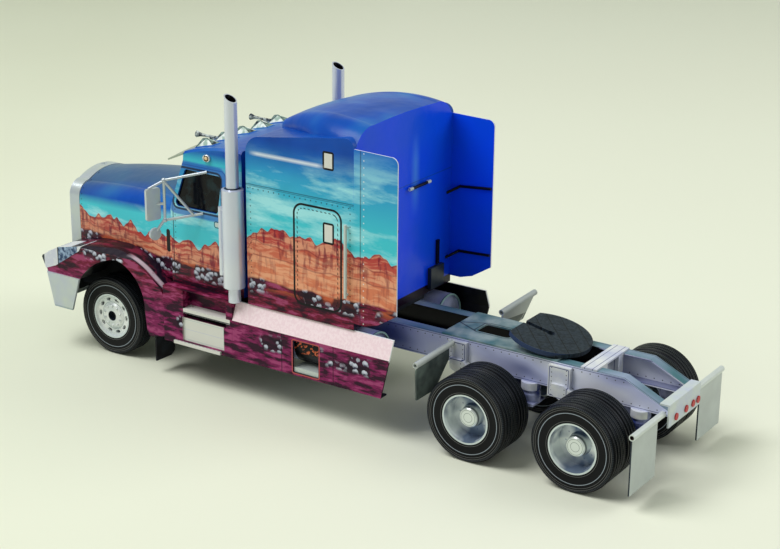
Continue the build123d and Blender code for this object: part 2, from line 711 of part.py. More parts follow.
with BuildPart() as cab_body:
    for inset, mode in ((0, Mode.ADD), (CAB_WALL, Mode.SUBTRACT)):
        with BuildSketch(side_plane(inset - CAB_HALF_WIDTH)):
            with BuildLine():
                cab_side(inset)
            make_face()
        extrude(amount=2 * (CAB_HALF_WIDTH - inset), mode=mode)
    with BuildSketch(side_plane(-CAB_HALF_WIDTH)) as window:
        with BuildLine():
            side_outline(*SIDE_WINDOW)
        make_face()
        fillet(window.vertices(), 2)
    extrude(amount=2 * CAB_HALF_WIDTH, mode=Mode.SUBTRACT)
    inner, outer, sill, header = WINDSHIELD
    with BuildSketch(cross_plane(CAB_FRONT + 16)):
        for side in (-1, 1):
            with Locations((side * (inner + outer) / 2, (sill + header) / 2)):
                RectangleRounded(outer - inner, header - sill, 2)
    extrude(amount=17, mode=Mode.SUBTRACT)
save(cab_body.part, "cab_body")

with BuildPart() as cab_glazing:
    for inset, mode in ((CAB_WALL, Mode.ADD), (CAB_WALL + GLAZING, Mode.SUBTRACT)):
        with BuildSketch(side_plane(inset - CAB_HALF_WIDTH)):
            with BuildLine():
                cab_side(inset)
            make_face()
        extrude(amount=2 * (CAB_HALF_WIDTH - inset), mode=mode)
    with BuildSketch(side_plane(-CAB_HALF_WIDTH)):
        with BuildLine():
            side_outline((CAB_FRONT, COWL_HEIGHT + 0.5), (80, COWL_HEIGHT + 0.5), (80, 113), (CAB_FRONT, 113))
        make_face()
    extrude(amount=2 * CAB_HALF_WIDTH, mode=Mode.INTERSECT)
save(cab_glazing.part, "cab_glazing")

# Cab roof: crowned from the windshield to the rear, with five wedge lamps and two trumpet horns
ROOF_FRONT_TOP = 119.4
ROOF_REAR_TOP = 124.8
LAMP_ROWS = (-29.0, -14.5, 0.0, 14.5, 29.0)
LAMP_STATION = 62.5
LAMP_BASE = 121.0
LAMP_PYRAMID = (  # height over the base, width, length, shift to the front
    (0.0, 8.0, 14.0, 0.0),
    (4.8, 1.0, 1.6, 1.6),
)
HORN_X = 21.7
HORN_STATION = 49.0
HORN_HEIGHT = 124.2
with BuildPart() as cab_roof:
    with BuildSketch(side_plane(-CAB_HALF_WIDTH)):
        with BuildLine():
            side_line((53.6, ROOF_FRONT_TOP), (CAB_TOP_FRONT, CAB_TOP), (CAB_REAR, CAB_TOP), (CAB_REAR, ROOF_REAR_TOP))
            side_arc((CAB_REAR, ROOF_REAR_TOP), (70.7, 123.6), (53.6, ROOF_FRONT_TOP))
        make_face()
    extrude(amount=2 * CAB_HALF_WIDTH)
    top_edges = cab_roof.edges().filter_by(lambda edge: edge.center().Z > 121 and abs(edge.center().X) > 37)
    chamfer(top_edges, length=1.2)
    for x in LAMP_ROWS:
        lamp_plane = Plane(origin=at(x, LAMP_STATION, LAMP_BASE), x_dir=(1, 0, 0), z_dir=(0, -0.235, 0.972))
        for height, width, length, forward in LAMP_PYRAMID:
            with BuildSketch(lamp_plane.offset(height)):
                with Locations((0, -forward)):
                    Rectangle(width, length)
        loft()
    for side in (-1, 1):
        horn_start = at(side * HORN_X, HORN_STATION, HORN_HEIGHT)
        with BuildSketch(Plane(origin=horn_start, x_dir=(1, 0, 0), z_dir=(0, 0, 1))):
            with BuildLine():
                Polyline((0, 0), (1.7, 0), (1.0, 2.2), (0.7, 5), (0.7, 13), (0, 13), close=True)
            make_face()
        revolve(axis=Axis(horn_start, (0, 1, 0)))
        with BuildSketch(Plane.XY.offset(118)):
            with Locations((side * HORN_X, aft(HORN_STATION + 10))):
                Rectangle(1.2, 3)
        extrude(amount=HORN_HEIGHT - 118)
save(cab_roof.part, "cab_roof")

# Sun visor across the top of the windshield
VISOR_CROWN = 2.6
with BuildPart() as sun_visor:
    for x, rise in ((-CAB_HALF_WIDTH, 0), (0, VISOR_CROWN), (CAB_HALF_WIDTH, 0)):
        with BuildSketch(side_plane(x)):
            with BuildLine():
                side_outline((53.5, 118.8), (43.5, 114.2 + rise), (43.5, 113.4 + rise), (53.4, 117.7))
            make_face()
    loft()
save(sun_visor.part, "sun_visor")


# Sleeper: a closed box with a grab rail on each side and brackets on its rear wall
SLEEPER_HALF_WIDTH = 43.0
SLEEPER_SEAM = 111.0
GRAB_RADIUS = 0.8
with BuildPart() as sleeper_body:
    with BuildSketch(side_plane(-SLEEPER_HALF_WIDTH)):
        with BuildLine():
            side_outline(
                (SLEEPER_FRONT, BODY_FLOOR), (SLEEPER_REAR, BODY_FLOOR),
                (SLEEPER_REAR, SLEEPER_SEAM), (SLEEPER_FRONT, SLEEPER_SEAM),
            )
        make_face()
    extrude(amount=2 * SLEEPER_HALF_WIDTH)
    for side in (-1, 1):
        rail_x = side * (SLEEPER_HALF_WIDTH + 1.8)
        add(rod(at(rail_x, 156, 66), at(rail_x, 156, 102), GRAB_RADIUS))
        for height in (67.5, 100.5):
            add(rod(at(side * SLEEPER_HALF_WIDTH, 156, height), at(rail_x, 156, height), GRAB_RADIUS * 0.8))
    with BuildSketch(cross_plane(SLEEPER_REAR)):
        with Locations((-27, 57.5)):
            Rectangle(12, 11)
    extrude(amount=-2.4)
    with BuildSketch(cross_plane(SLEEPER_REAR)):
        with Locations((-29, 69.5)):
            Rectangle(2, 13)
    extrude(amount=-1.4)
    add(rod(at(-20.3, SLEEPER_REAR + 1.4, 108.5), at(-1.6, SLEEPER_REAR + 1.4, 108.5), GRAB_RADIUS))
    for x in (-19, -3):
        add(rod(at(x, SLEEPER_REAR, 108.5), at(x, SLEEPER_REAR + 1.4, 108.5), GRAB_RADIUS * 0.8))
save(sleeper_body.part, "sleeper_body")

# Sleeper roof: side panels with rounded corners, and a raised dome that widens to the rear
DOME_BASE = 130.0
DOME_SECTIONS = (  # distance behind the front axle, half width, top, size of the rounded shoulder
    (100.5, 19.0, 138.2, 2.6),
    (112.0, 25.0, 143.6, 5.0),
    (130.0, 35.0, 147.8, 9.0),
    (SLEEPER_REAR, 42.4, 146.2, 12.0),
)
with BuildPart() as sleeper_roof:
    with BuildSketch(side_plane(-SLEEPER_HALF_WIDTH)):
        with BuildLine():
            side_line((SLEEPER_REAR, 138), (SLEEPER_REAR, SLEEPER_SEAM), (SLEEPER_FRONT, SLEEPER_SEAM), (SLEEPER_FRONT, 128))
            side_arc((SLEEPER_FRONT, 128), (98.8, 132.8), (104.4, 135.6))
            side_line((104.4, 135.6), (153.5, 142.4))
            side_arc((153.5, 142.4), (158, 141.2), (SLEEPER_REAR, 138))
        make_face()
    extrude(amount=2 * SLEEPER_HALF_WIDTH)
    for distance, half_width, top, shoulder in DOME_SECTIONS:
        turn = half_width - shoulder * 1.3
        with BuildSketch(cross_plane(distance)):
            with BuildLine():
                Polyline(
                    (-half_width, top - shoulder), (-half_width, DOME_BASE), (half_width, DOME_BASE),
                    (half_width, top - shoulder),
                )
                for side in (-1, 1):
                    ThreePointArc(
                        (side * half_width, top - shoulder),
                        (side * (half_width - shoulder * 0.38), top - shoulder * 0.29),
                        (side * turn, top),
                    )
                ThreePointArc((-turn, top), (0, top + 0.8), (turn, top))
            make_face()
    loft()
save(sleeper_roof.part, "sleeper_roof")


# Side extenders behind the sleeper, each held by two bent struts
EXTENDER_REAR = 183.5
STRUTS = ((98.0, 101.4, 103.0), (64.0, 67.5, 68.4))
STRUT_RADIUS = 0.7
with BuildPart() as side_extender:
    with BuildSketch(side_plane(SLEEPER_HALF_WIDTH)):
        with BuildLine():
            side_line((SLEEPER_REAR, 53.5), (SLEEPER_REAR, 138.2), (179.5, 137.6))
            side_arc((179.5, 137.6), (182.5, 136.6), (EXTENDER_REAR, 134))
            side_line((EXTENDER_REAR, 134), (EXTENDER_REAR, 62), (173, 55.5), (166, 53.5), (SLEEPER_REAR, 53.5))
        make_face()
    extrude(amount=-CARD)
    for wall, bend, end in STRUTS:
        inside = SLEEPER_HALF_WIDTH - CARD - STRUT_RADIUS * 0.7
        knee = at(inside, 165, bend)
        add(rod(at(38, SLEEPER_REAR, wall), knee, STRUT_RADIUS))
        add(rod(knee, at(inside, 183, end), STRUT_RADIUS))
        with Locations(knee):
            Sphere(STRUT_RADIUS * 1.1)
    split(bisect_by=Plane(origin=at(0, SLEEPER_REAR, 0), z_dir=(0, 1, 0)), keep=Keep.TOP)
save_pair(side_extender.part, "side_extender")


# Exhaust stacks: a muffler on a plain pipe with a slanted, open top, and a guard tube ahead of it
STACK_X = 44.0
STACK_STATION = 89.0
PIPE_RADIUS = 3.15
MUFFLER_RADIUS = 5.45
MUFFLER_BOTTOM = 57.0
MUFFLER_TOP = 108.4
STACK_TOP = 154.0
with BuildPart() as exhaust_stack:
    with BuildSketch(Plane(origin=at(STACK_X, STACK_STATION, 0), x_dir=(1, 0, 0), z_dir=(0, -1, 0))):
        with BuildLine():
            Polyline(
                (0, BODY_FLOOR),
                (PIPE_RADIUS, BODY_FLOOR),
                (PIPE_RADIUS, MUFFLER_BOTTOM),
                (MUFFLER_RADIUS, MUFFLER_BOTTOM + 0.8),
                (MUFFLER_RADIUS, MUFFLER_TOP - 0.8),
                (PIPE_RADIUS, MUFFLER_TOP),
                (PIPE_RADIUS, STACK_TOP),
                (0, STACK_TOP),
                close=True,
            )
        make_face()
    revolve(axis=Axis(at(STACK_X, STACK_STATION, 0), (0, 0, 1)))
    with BuildSketch(Plane.XY.offset(STACK_TOP)):
        with Locations((STACK_X, aft(STACK_STATION))):
            Circle(PIPE_RADIUS - CARD)
    extrude(amount=-12, mode=Mode.SUBTRACT)
    split(
        bisect_by=Plane(origin=at(STACK_X, STACK_STATION + PIPE_RADIUS, STACK_TOP - 3.6), z_dir=(0, 0.5, 0.87)),
        keep=Keep.BOTTOM,
    )
    add(rod(at(STACK_X + 1.5, 82.4, 63), at(STACK_X + 1.5, 82.4, 98), 1.1))
    for height in (64.5, 96.5):
        add(rod(at(STACK_X + 1.5, 82.4, height), at(STACK_X + 1, STACK_STATION, height), 0.8))
    with BuildSketch(Plane.XY.offset(100)):
        with Locations((CAB_HALF_WIDTH, aft(87))):
            Rectangle(3, 3, align=(Align.MIN, Align.CENTER))
    extrude(amount=3)
save_pair(exhaust_stack.part, "exhaust_stack")


# Door mirrors: a tube frame on the door's corners, a flat head and a round one below it
MIRROR_RODS = (  # start and end, each as X, distance behind the front axle, height
    ((50.0, 50.8, 86.6), (50.0, 50.8, 107.4)),
    ((50.0, 50.8, 107.0), (38.0, 68.4, 111.3)),
    ((50.0, 50.8, 86.6), (38.0, 65.1, 89.4)),
    ((50.0, 50.8, 106.6), (41.0, 61.6, 88.9)),
    ((50.0, 50.8, 106.8), (56.6, 46.4, 103.4)),
    ((50.0, 50.8, 87.2), (52.4, 47.4, 81.2)),
    ((50.0, 50.8, 95.0), (52.0, 47.6, 95.0)),
)
ROD_RADIUS = 0.7
BALLS = ((50.0, 50.8, 86.6), (50.0, 50.8, 107.0))
BALL_RADIUS = 1.2
with BuildPart() as door_mirror:
    for start, end in MIRROR_RODS:
        add(rod(at(*start), at(*end), ROD_RADIUS))
    for ball in BALLS:
        with Locations(at(*ball)):
            Sphere(BALL_RADIUS)
    head_plane = Plane(origin=at(54, 46.6, 95), x_dir=(0.95, -0.31, 0), z_dir=(0.31, 0.95, 0))
    with BuildSketch(head_plane):
        RectangleRounded(7.8, 16.2, 1)
    extrude(amount=0.9, both=True)
    with BuildSketch(Plane(origin=at(53, 46.6, 79.4), x_dir=(0.95, -0.31, 0), z_dir=(0.31, 0.95, 0))):
        Circle(3.1)
    extrude(amount=0.8, both=True)
    split(bisect_by=Plane(origin=(CAB_HALF_WIDTH, 0, 0), z_dir=(1, 0, 0)), keep=Keep.TOP)
save_pair(door_mirror.part, "mirror")


# Wheels: grooved tyres on card rims, single at the front and twin at the rear
TYRE_WIDTH = 11.0
RIM_RADIUS = 12.15
RIM_LIP = 0.8
SHOULDER = 0.9
GROOVE_DEPTH = 0.5
GROOVE_WIDTH = 0.8
GROOVES = (0.27, 0.5, 0.73)
TWIN_GAP = 0.8
TWIN_GAP_RADIUS = 17.0
FRONT_OUTER_FACE = 37.7
TWIN_OUTER_FACE = 45.1
BORE_RADIUS = SPINDLE_RADIUS + SPINDLE_CLEARANCE


def tread(outer_x, width):
    """Points of one tyre's outside, from its outer to its inner sidewall, with grooves round the tread."""
    points = [(outer_x, TYRE_RADIUS - SHOULDER), (outer_x - SHOULDER, TYRE_RADIUS)]
    for share in GROOVES:
        middle = outer_x - share * width
        points += [
            (middle + GROOVE_WIDTH / 2, TYRE_RADIUS),
            (middle + GROOVE_WIDTH / 2, TYRE_RADIUS - GROOVE_DEPTH),
            (middle - GROOVE_WIDTH / 2, TYRE_RADIUS - GROOVE_DEPTH),
            (middle - GROOVE_WIDTH / 2, TYRE_RADIUS),
        ]
    return points + [(outer_x - width + SHOULDER, TYRE_RADIUS), (outer_x - width, TYRE_RADIUS - SHOULDER)]


with BuildPart() as front_tyre:
    with BuildSketch(wheel_plane(0)):
        with BuildLine():
            Polyline(
                (FRONT_OUTER_FACE, RIM_RADIUS),
                *tread(FRONT_OUTER_FACE, TYRE_WIDTH),
                (FRONT_OUTER_FACE - TYRE_WIDTH, RIM_RADIUS),
                close=True,
            )
        make_face()
    revolve(axis=axle_line(0))
save_pair(front_tyre.part, "tyre_front")

HAND_HOLES = 10
HAND_HOLE_CIRCLE = 9.0
HUB_RADIUS = 5.0
with BuildPart() as front_wheel:
    with BuildSketch(wheel_plane(0)):
        with BuildLine():
            Polyline(
                (FRONT_OUTER_FACE - 0.1, RIM_RADIUS),
                (FRONT_OUTER_FACE - 0.1, RIM_RADIUS - RIM_LIP),
                (FRONT_OUTER_FACE - 1.4, RIM_RADIUS - 1.4),
                (FRONT_OUTER_FACE - 1.8, 7.0),
                (FRONT_OUTER_FACE - 1.0, 6.0),
                (FRONT_OUTER_FACE - 0.6, 3.2),
                (FRONT_OUTER_FACE - 0.6, 2.6),
                (FRONT_OUTER_FACE - 2.6, 2.6),
                (FRONT_OUTER_FACE - 2.6, BORE_RADIUS),
                (FRONT_OUTER_FACE - 7.0, BORE_RADIUS),
                (FRONT_OUTER_FACE - 7.0, HUB_RADIUS),
                (FRONT_OUTER_FACE - 3.2, HUB_RADIUS),
                (FRONT_OUTER_FACE - 3.2, RIM_RADIUS - RIM_LIP),
                (FRONT_OUTER_FACE - TYRE_WIDTH, RIM_RADIUS - RIM_LIP),
                (FRONT_OUTER_FACE - TYRE_WIDTH, RIM_RADIUS),
                close=True,
            )
        make_face()
    revolve(axis=axle_line(0))
    with BuildSketch(Plane(origin=at(FRONT_OUTER_FACE, 0, TYRE_RADIUS), x_dir=(0, 1, 0), z_dir=(1, 0, 0))):
        with PolarLocations(HAND_HOLE_CIRCLE, HAND_HOLES):
            Ellipse(0.9, 1.5)
    extrude(amount=-4, mode=Mode.SUBTRACT)
save_pair(front_wheel.part, "wheel_front")

for number, axle in ((1, DRIVE_AXLE_1), (2, DRIVE_AXLE_2)):
    inner_face = TWIN_OUTER_FACE - TYRE_WIDTH - TWIN_GAP
    with BuildPart() as twin_tyre:
        with BuildSketch(wheel_plane(axle)):
            with BuildLine():
                Polyline(
                    (TWIN_OUTER_FACE, RIM_RADIUS),
                    *tread(TWIN_OUTER_FACE, TYRE_WIDTH),
                    (inner_face + TWIN_GAP, TWIN_GAP_RADIUS),
                    (inner_face, TWIN_GAP_RADIUS),
                    *tread(inner_face, TYRE_WIDTH),
                    (inner_face - TYRE_WIDTH, RIM_RADIUS),
                    close=True,
                )
            make_face()
        revolve(axis=axle_line(axle))
    save_pair(twin_tyre.part, f"tyre_drive_{number}")
    disc = TWIN_OUTER_FACE - 8.0
    with BuildPart() as twin_wheel:
        with BuildSketch(wheel_plane(axle)):
            with BuildLine():
                Polyline(
                    (TWIN_OUTER_FACE - 0.1, RIM_RADIUS),
                    (TWIN_OUTER_FACE - 0.1, RIM_RADIUS - RIM_LIP),
                    (TWIN_OUTER_FACE - 1.6, RIM_RADIUS - 1.4),
                    (disc, RIM_RADIUS - 1.8),
                    (disc, 5.6),
                    (TWIN_OUTER_FACE - 3.4, 4.8),
                    (TWIN_OUTER_FACE - 2.8, 4.2),
                    (TWIN_OUTER_FACE - 2.8, 0),
                    (TWIN_OUTER_FACE - 3.8, 0),
                    (TWIN_OUTER_FACE - 3.8, BORE_RADIUS),
                    (inner_face - 5, BORE_RADIUS),
                    (inner_face - 5, HUB_RADIUS),
                    (disc - 1, HUB_RADIUS),
                    (disc - 1, RIM_RADIUS - RIM_LIP),
                    (inner_face - TYRE_WIDTH, RIM_RADIUS - RIM_LIP),
                    (inner_face - TYRE_WIDTH, RIM_RADIUS),
                    close=True,
                )
            make_face()
        revolve(axis=axle_line(axle))
    save_pair(twin_wheel.part, f"wheel_drive_{number}")
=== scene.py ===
"""Finishes for a card scale model of a long-nosed sleeper tractor.

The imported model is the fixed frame. Each operator prints the card of one group of pieces, adds small
pieces made as surfaces, or sets the stage. Patterns read Object coordinates, in millimetres: x to the
truck's left, aft behind the front axle, and z above the ground.
"""
import math

import bmesh
import bpy
import numpy as np
from mathutils import Matrix, Vector


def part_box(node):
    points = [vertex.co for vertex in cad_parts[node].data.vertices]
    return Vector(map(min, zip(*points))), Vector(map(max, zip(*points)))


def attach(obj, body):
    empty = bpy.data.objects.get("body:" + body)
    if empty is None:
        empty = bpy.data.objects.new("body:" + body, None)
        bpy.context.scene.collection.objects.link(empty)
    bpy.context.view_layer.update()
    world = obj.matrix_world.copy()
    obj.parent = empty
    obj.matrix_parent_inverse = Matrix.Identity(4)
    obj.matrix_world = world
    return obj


bl_info = {
    "name": "Card sleeper tractor",
    "version": (1, 0, 0),
    "blender": (4, 5, 0),
    "location": "View3D > Sidebar > Card truck",
    "description": "Prints and dresses a card scale model of a sleeper tractor",
    "category": "Object",
}

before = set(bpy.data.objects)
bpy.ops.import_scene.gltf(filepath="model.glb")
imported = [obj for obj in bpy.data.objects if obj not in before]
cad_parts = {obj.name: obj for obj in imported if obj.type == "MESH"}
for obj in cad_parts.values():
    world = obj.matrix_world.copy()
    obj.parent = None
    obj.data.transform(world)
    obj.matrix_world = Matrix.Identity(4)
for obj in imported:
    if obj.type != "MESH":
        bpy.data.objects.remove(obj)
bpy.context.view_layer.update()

MM = 0.001
SIDES = (("left", 1), ("right", -1))
AXLES = ("front", "drive_1", "drive_2")


def middle(node):
    """Middle of a CAD node's box, in millimetres."""
    low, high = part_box(node)
    return (low + high) / 2 / MM


FRONT_AXLE = middle("tyre_front_left").y
AXLE_HEIGHT = middle("tyre_front_left").z
SLEEPER_SIDE = 43.0
SLEEPER_REAR = 159.5
CAB_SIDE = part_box("cab_body")[1].x / MM
FAIRING_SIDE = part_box("tank_fairing_left")[1].x / MM
FENDER_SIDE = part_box("fender_left")[1].x / MM
RAIL_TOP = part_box("frame_rail_left")[1].z / MM
PHOTO_WIDTH = 780
CAMERA_PLACE = (0.66075, 0.45580, 0.34212)  # metres

# Printed rectangles, each from (aft, z) to (aft, z)
SLEEPER_DOOR = ((125.0, 57.0), (152.3, 107.0))
SLEEPER_DOOR_STITCHES = ((126.9, 58.9), (150.4, 105.1))
LOW_WINDOW = ((142.3, 90.5), (147.8, 100.0))
HIGH_WINDOW = ((142.3, 126.4), (147.8, 134.4))
CAB_DOOR = ((45.6, 51.5), (80.0, 113.0))
CAB_PILLARS = ((44.8, 88.4), (78.4, 112.6))
CAB_GASKET = ((46.0, 89.6), (77.2, 111.4))
DOOR_HANDLE = ((72.6, 84.0), (78.0, 86.2))
DOOR_HANDLE_EDGE = ((72.2, 83.6), (78.4, 86.6))
HOOD_VENT = ((38.2, 64.0), (41.0, 76.0))
STEP_OPENING = ((125.3, 21.5), (141.5, 38.9))
BATTERY_LID = ((57.2, 23.6), (82.2, 34.2))
HANGERS = (((197.7, 37.7), (206.3, 45.6)), ((251.5, 31.7), (261.3, 45.6)))
HEADLAMP_LENS = ((34.2, 43.6), (44.2, 48.5))  # (x, z)
MOUNT_OPENING = ((-6.6, 203.0), (6.6, 223.0))  # (x, aft)

# Places of round pieces
FIFTH_WHEEL_AFT = 241.3
TANK_AXIS = (32.3, 35.4)  # x, z
STACK_AXIS = (44.0, 89.0)  # x, aft
HANGER_AXIS = (307.5, 35.1)  # aft, z
SIDE_LAMP = (68.7, 118.4)  # aft, z
FOG_LAMP = (29.0, -38.3, 32.0)  # x, aft, z
NUTS = 10
NUT_CIRCLE = 5.3
NUT_SEAT = 36.78
RIB_PITCH = 1.2


def colour(name, text, default):
    """A colour that a user may change."""
    return bpy.props.FloatVectorProperty(
        name=name, description=text, default=default, size=3, min=0, max=1, subtype="COLOR"
    )


def number(name, text, default, **more):
    """A number that a user may change."""
    return bpy.props.FloatProperty(name=name, description=text, default=default, **more)


class CardColours(bpy.types.PropertyGroup):
    """Printing inks, some also used for painted light and shade, as linear colours."""

    sky_low: colour("Low sky", "Pale turquoise over the horizon", (0.055, 0.56, 0.66))
    sky_high: colour("High sky", "Blue of the upper sky", (0.004, 0.10, 0.56))
    cloud: colour("Cloud", "Pale cloud streaks", (0.42, 0.84, 0.88))
    roof_blue: colour("Roof blue", "Deep blue of the roofs", (0.002, 0.055, 0.34))
    wall_blue: colour("Wall blue", "Bright blue behind the sleeper", (0.002, 0.060, 0.92))
    dune_far: colour("Far dune", "Red of the farthest dunes", (0.46, 0.045, 0.040))
    dune_near: colour("Near dune", "Orange of the nearer dunes", (0.62, 0.13, 0.05))
    dune_pale: colour("Pale layer", "Cream layers in the dunes", (0.90, 0.50, 0.30))
    ground: colour("Ground", "Maroon ground", (0.16, 0.006, 0.030))
    ground_low: colour("Low ground", "Purple ground along the bottom", (0.20, 0.010, 0.085))
    shade: colour("Shade", "Dark streaks in the ground", (0.010, 0.003, 0.012))
    pebble: colour("Pebble", "Pale pebbles", (0.66, 0.70, 0.82))
    silver: colour("Silver", "Printed bright metal", (0.56, 0.62, 0.59))
    lilac: colour("Lilac silver", "Printed frame rails", (0.44, 0.48, 0.70))
    teal: colour("Teal", "Shaded edges of printed metal", (0.06, 0.17, 0.20))
    slate: colour("Slate", "Dark printed plate", (0.018, 0.027, 0.040))
    # Black also stands for painted shade on insides that lie in shadow: in the front arches and fenders, on
    # the rails' inner faces and in the stacks' bores.
    black: colour("Black", "Unprinted black insides", (0.004, 0.004, 0.006))
    tyre: colour("Tyre", "Printed rubber", (0.0035, 0.0038, 0.0055))
    white: colour("Card white", "Cut edges of the card", (0.78, 0.80, 0.78))
    cream: colour("Cream", "Pale printed steps", (0.70, 0.70, 0.65))
    deep: colour("Deep shade", "Dark blue shading on printed metal", (0.02, 0.04, 0.20))
    flap: colour("Flap", "Grey-green flaps", (0.42, 0.46, 0.44))
    lamp_red: colour("Lamp red", "Tail lamps", (0.46, 0.012, 0.020))


class CardSizes(bpy.types.PropertyGroup):
    """Sizes of the printed pattern, in millimetres."""

    horizon: number("Horizon", "Height of the horizon on the nose and cab in millimetres", 67.0)
    horizon_rise: number("Horizon rise", "How much higher it stands on the sleeper in millimetres", 18.0)
    ground_top: number("Ground", "Height where the ground turns maroon in millimetres", 61.0)
    seam: number("Seam", "Width of a printed seam in millimetres", 0.5)
    rivet: number("Rivet", "Radius of a printed rivet in millimetres", 0.35)


class StageSettings(bpy.types.PropertyGroup):
    """Floor, lights and camera."""

    floor: colour("Floor", "Colour of the paper floor", (0.74, 0.71, 0.58))
    backdrop: colour("Backdrop", "Colour behind the model", (0.84, 0.90, 0.75))
    key_power: number("Key lamp", "Power of the soft lamp at the upper left", 8.0, unit="POWER")
    fill_power: number("Fill lamp", "Power of the soft lamp behind", 4.0, unit="POWER")
    world_strength: number("Room light", "Strength of the even room light", 0.32)
    focal_pixels: number("Focal length", "Focal length in pixels of the photograph", 1713.24)
    azimuth: number(
        "Azimuth", "Direction of the camera round the model", math.radians(123.605), subtype="ANGLE"
    )
    elevation: number("Elevation", "Height of the camera as an angle", math.radians(19.319), subtype="ANGLE")
    roll: number("Roll", "Turn of the camera about its line of sight", math.radians(0.509), subtype="ANGLE")


def inks():
    return bpy.context.scene.card_colours


def sizes():
    return bpy.context.scene.card_sizes


# Shader maths


class Field:
    """A number that varies over a surface. Sums and products of fields add Math nodes."""

    def __init__(self, paint, socket):
        self.paint = paint
        self.socket = socket

    def math(self, operation, *values, clamp=False):
        settings = {"operation": operation, "use_clamp": clamp}
        made = self.paint.node("ShaderNodeMath", settings, dict(enumerate((self, *values))))
        return Field(self.paint, made.outputs[0])

    def __add__(self, other):
        return self.math("ADD", other)

    def __mul__(self, other):
        return self.math("MULTIPLY", other)

    def __sub__(self, other):
        return self.math("SUBTRACT", other)

    def __truediv__(self, other):
        return self.math("DIVIDE", other)

    def __rsub__(self, other):
        return self * -1 + other

    __radd__ = __add__
    __rmul__ = __mul__

    def __abs__(self):
        return self.math("ABSOLUTE")

    def larger(self, other):
        return self.math("MAXIMUM", other)

    def smaller(self, other):
        return self.math("MINIMUM", other)

    def above(self, edge, soft=0.2):
        """1 where the field is over edge, 0 where it is under, and a ramp of width soft between."""
        return ((self - edge) / soft).math("ADD", 0.5, clamp=True)

    def below(self, edge, soft=0.2):
        return 1 - self.above(edge, soft)

    def between(self, low, high, soft=0.2):
        return self.above(low, soft) * self.below(high, soft)

    def near(self, place, width, soft=0.2):
        """1 within half of width of place."""
        return abs(self - place).below(width / 2, soft)

    def repeated(self, pitch, width, soft=0.1):
        """1 on bands of that width, one in each pitch."""
        return (self / pitch).math("FRACT").near(0.5, width / pitch, soft / pitch)


class Paint:
    """One material: its nodes, and the Principled shader that they feed."""

    def __init__(self, name):
        self.material = bpy.data.materials.new(name)
        self.material.use_nodes = True
        self.tree = self.material.node_tree
        self.shader = self.tree.nodes["Principled BSDF"]
        self.place = self.node("ShaderNodeTexCoord").outputs["Object"]
        split = self.node("ShaderNodeSeparateXYZ", {}, {0: self.place})
        x, y, z = (Field(self, socket) * (1 / MM) for socket in split.outputs)
        self.x = x
        self.aft = y - FRONT_AXLE
        self.z = z
        self.side = abs(x)

    def node(self, kind, settings=None, values=None):
        """Any node: its settings first, then the values or links of its sockets."""
        made = self.tree.nodes.new(kind)
        for key, value in (settings or {}).items():
            setattr(made, key, value)
        for key, value in (values or {}).items():
            socket = made.inputs[key]
            if isinstance(value, Field):
                value = value.socket
            if isinstance(value, bpy.types.NodeSocket):
                self.tree.links.new(value, socket)
            else:
                socket.default_value = value
        return made

    def blend(self, mask, under, over):
        """Colour under where the mask is 0 and colour over where it is 1, as values or as names of inks."""
        made = self.node("ShaderNodeMix", {"data_type": "RGBA"}, {0: mask, 6: ink(under), 7: ink(over)})
        return made.outputs[2]

    def layers(self, base, *prints):
        """Colours printed over base in turn, each given as its mask and its colour."""
        for mask, colour in prints:
            base = self.blend(mask, base, colour)
        return base

    def mottled(self, scale, share, under, over, edge=0.5, soft=0.3, **noise):
        """Colour under with that share of colour over, in patches about scale millimetres across."""
        patches = self.grain(scale, **noise).above(edge, soft)
        return self.blend(patches * share, under, over)

    def vector(self, x, y, z):
        return self.node("ShaderNodeCombineXYZ", {}, {0: x, 1: y, 2: z}).outputs[0]

    def grain(self, scale, detail=3.0, roughness=0.5, at=None):
        """Noise from 0 to 1 whose lumps are about scale millimetres across."""
        size = 1 / (scale * MM) if at is None else 1 / scale
        values = {"Vector": at or self.place, "Scale": size, "Detail": detail, "Roughness": roughness}
        return Field(self, self.node("ShaderNodeTexNoise", {}, values).outputs[0])

    def cells(self, scale, at):
        """Distance to the nearest of scattered points, in cells of about scale millimetres."""
        values = {"Vector": at, "Scale": 1 / scale, "Randomness": 1.0}
        return Field(self, self.node("ShaderNodeTexVoronoi", {}, values).outputs["Distance"])

    def use(self, base=None, roughness=0.5, metallic=0.0, bump=None, height=0.0002, coat=0.0, sheen=0.25):
        """Feeds the shader and returns the material."""
        plugs = {"Base Color": base, "Roughness": roughness, "Metallic": metallic}
        for key, value in plugs.items():
            if isinstance(value, Field):
                value = value.socket
            if isinstance(value, bpy.types.NodeSocket):
                self.tree.links.new(value, self.shader.inputs[key])
            elif value is not None:
                self.shader.inputs[key].default_value = ink(value)
        self.shader.inputs["Coat Weight"].default_value = coat
        self.shader.inputs["Coat Roughness"].default_value = 0.22
        self.shader.inputs["Specular IOR Level"].default_value = sheen
        if bump is not None:
            made = self.node("ShaderNodeBump", {}, {"Strength": 1.0, "Distance": height, "Height": bump})
            self.tree.links.new(made.outputs[0], self.shader.inputs["Normal"])
        return self.material

    def cover(self, base, roughness, *nodes, wrinkle=None, **finish):
        """Gives CAD nodes this material; wrinkle is the size in millimetres of waves in bent card."""
        if wrinkle:
            finish["bump"] = self.grain(wrinkle, detail=2.0)
        material = self.use(base, roughness, **finish)
        for name in nodes:
            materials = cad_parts[name].data.materials
            materials.clear()
            materials.append(material)


def card(name):
    """A new material, with the two fields that most patterns read."""
    paint = Paint(name)
    return paint, paint.aft, paint.z


def ink(value):
    """A colour, or the ink of that name, with its alpha; anything else as it is."""
    if isinstance(value, str):
        value = getattr(inks(), value)
    if isinstance(value, (bpy.types.NodeSocket, float, int)):
        return value
    return (*tuple(value)[:3], 1.0)


def distance(across, up):
    """Distance from the place where both fields are 0."""
    return (across * across + up * up).math("SQRT")


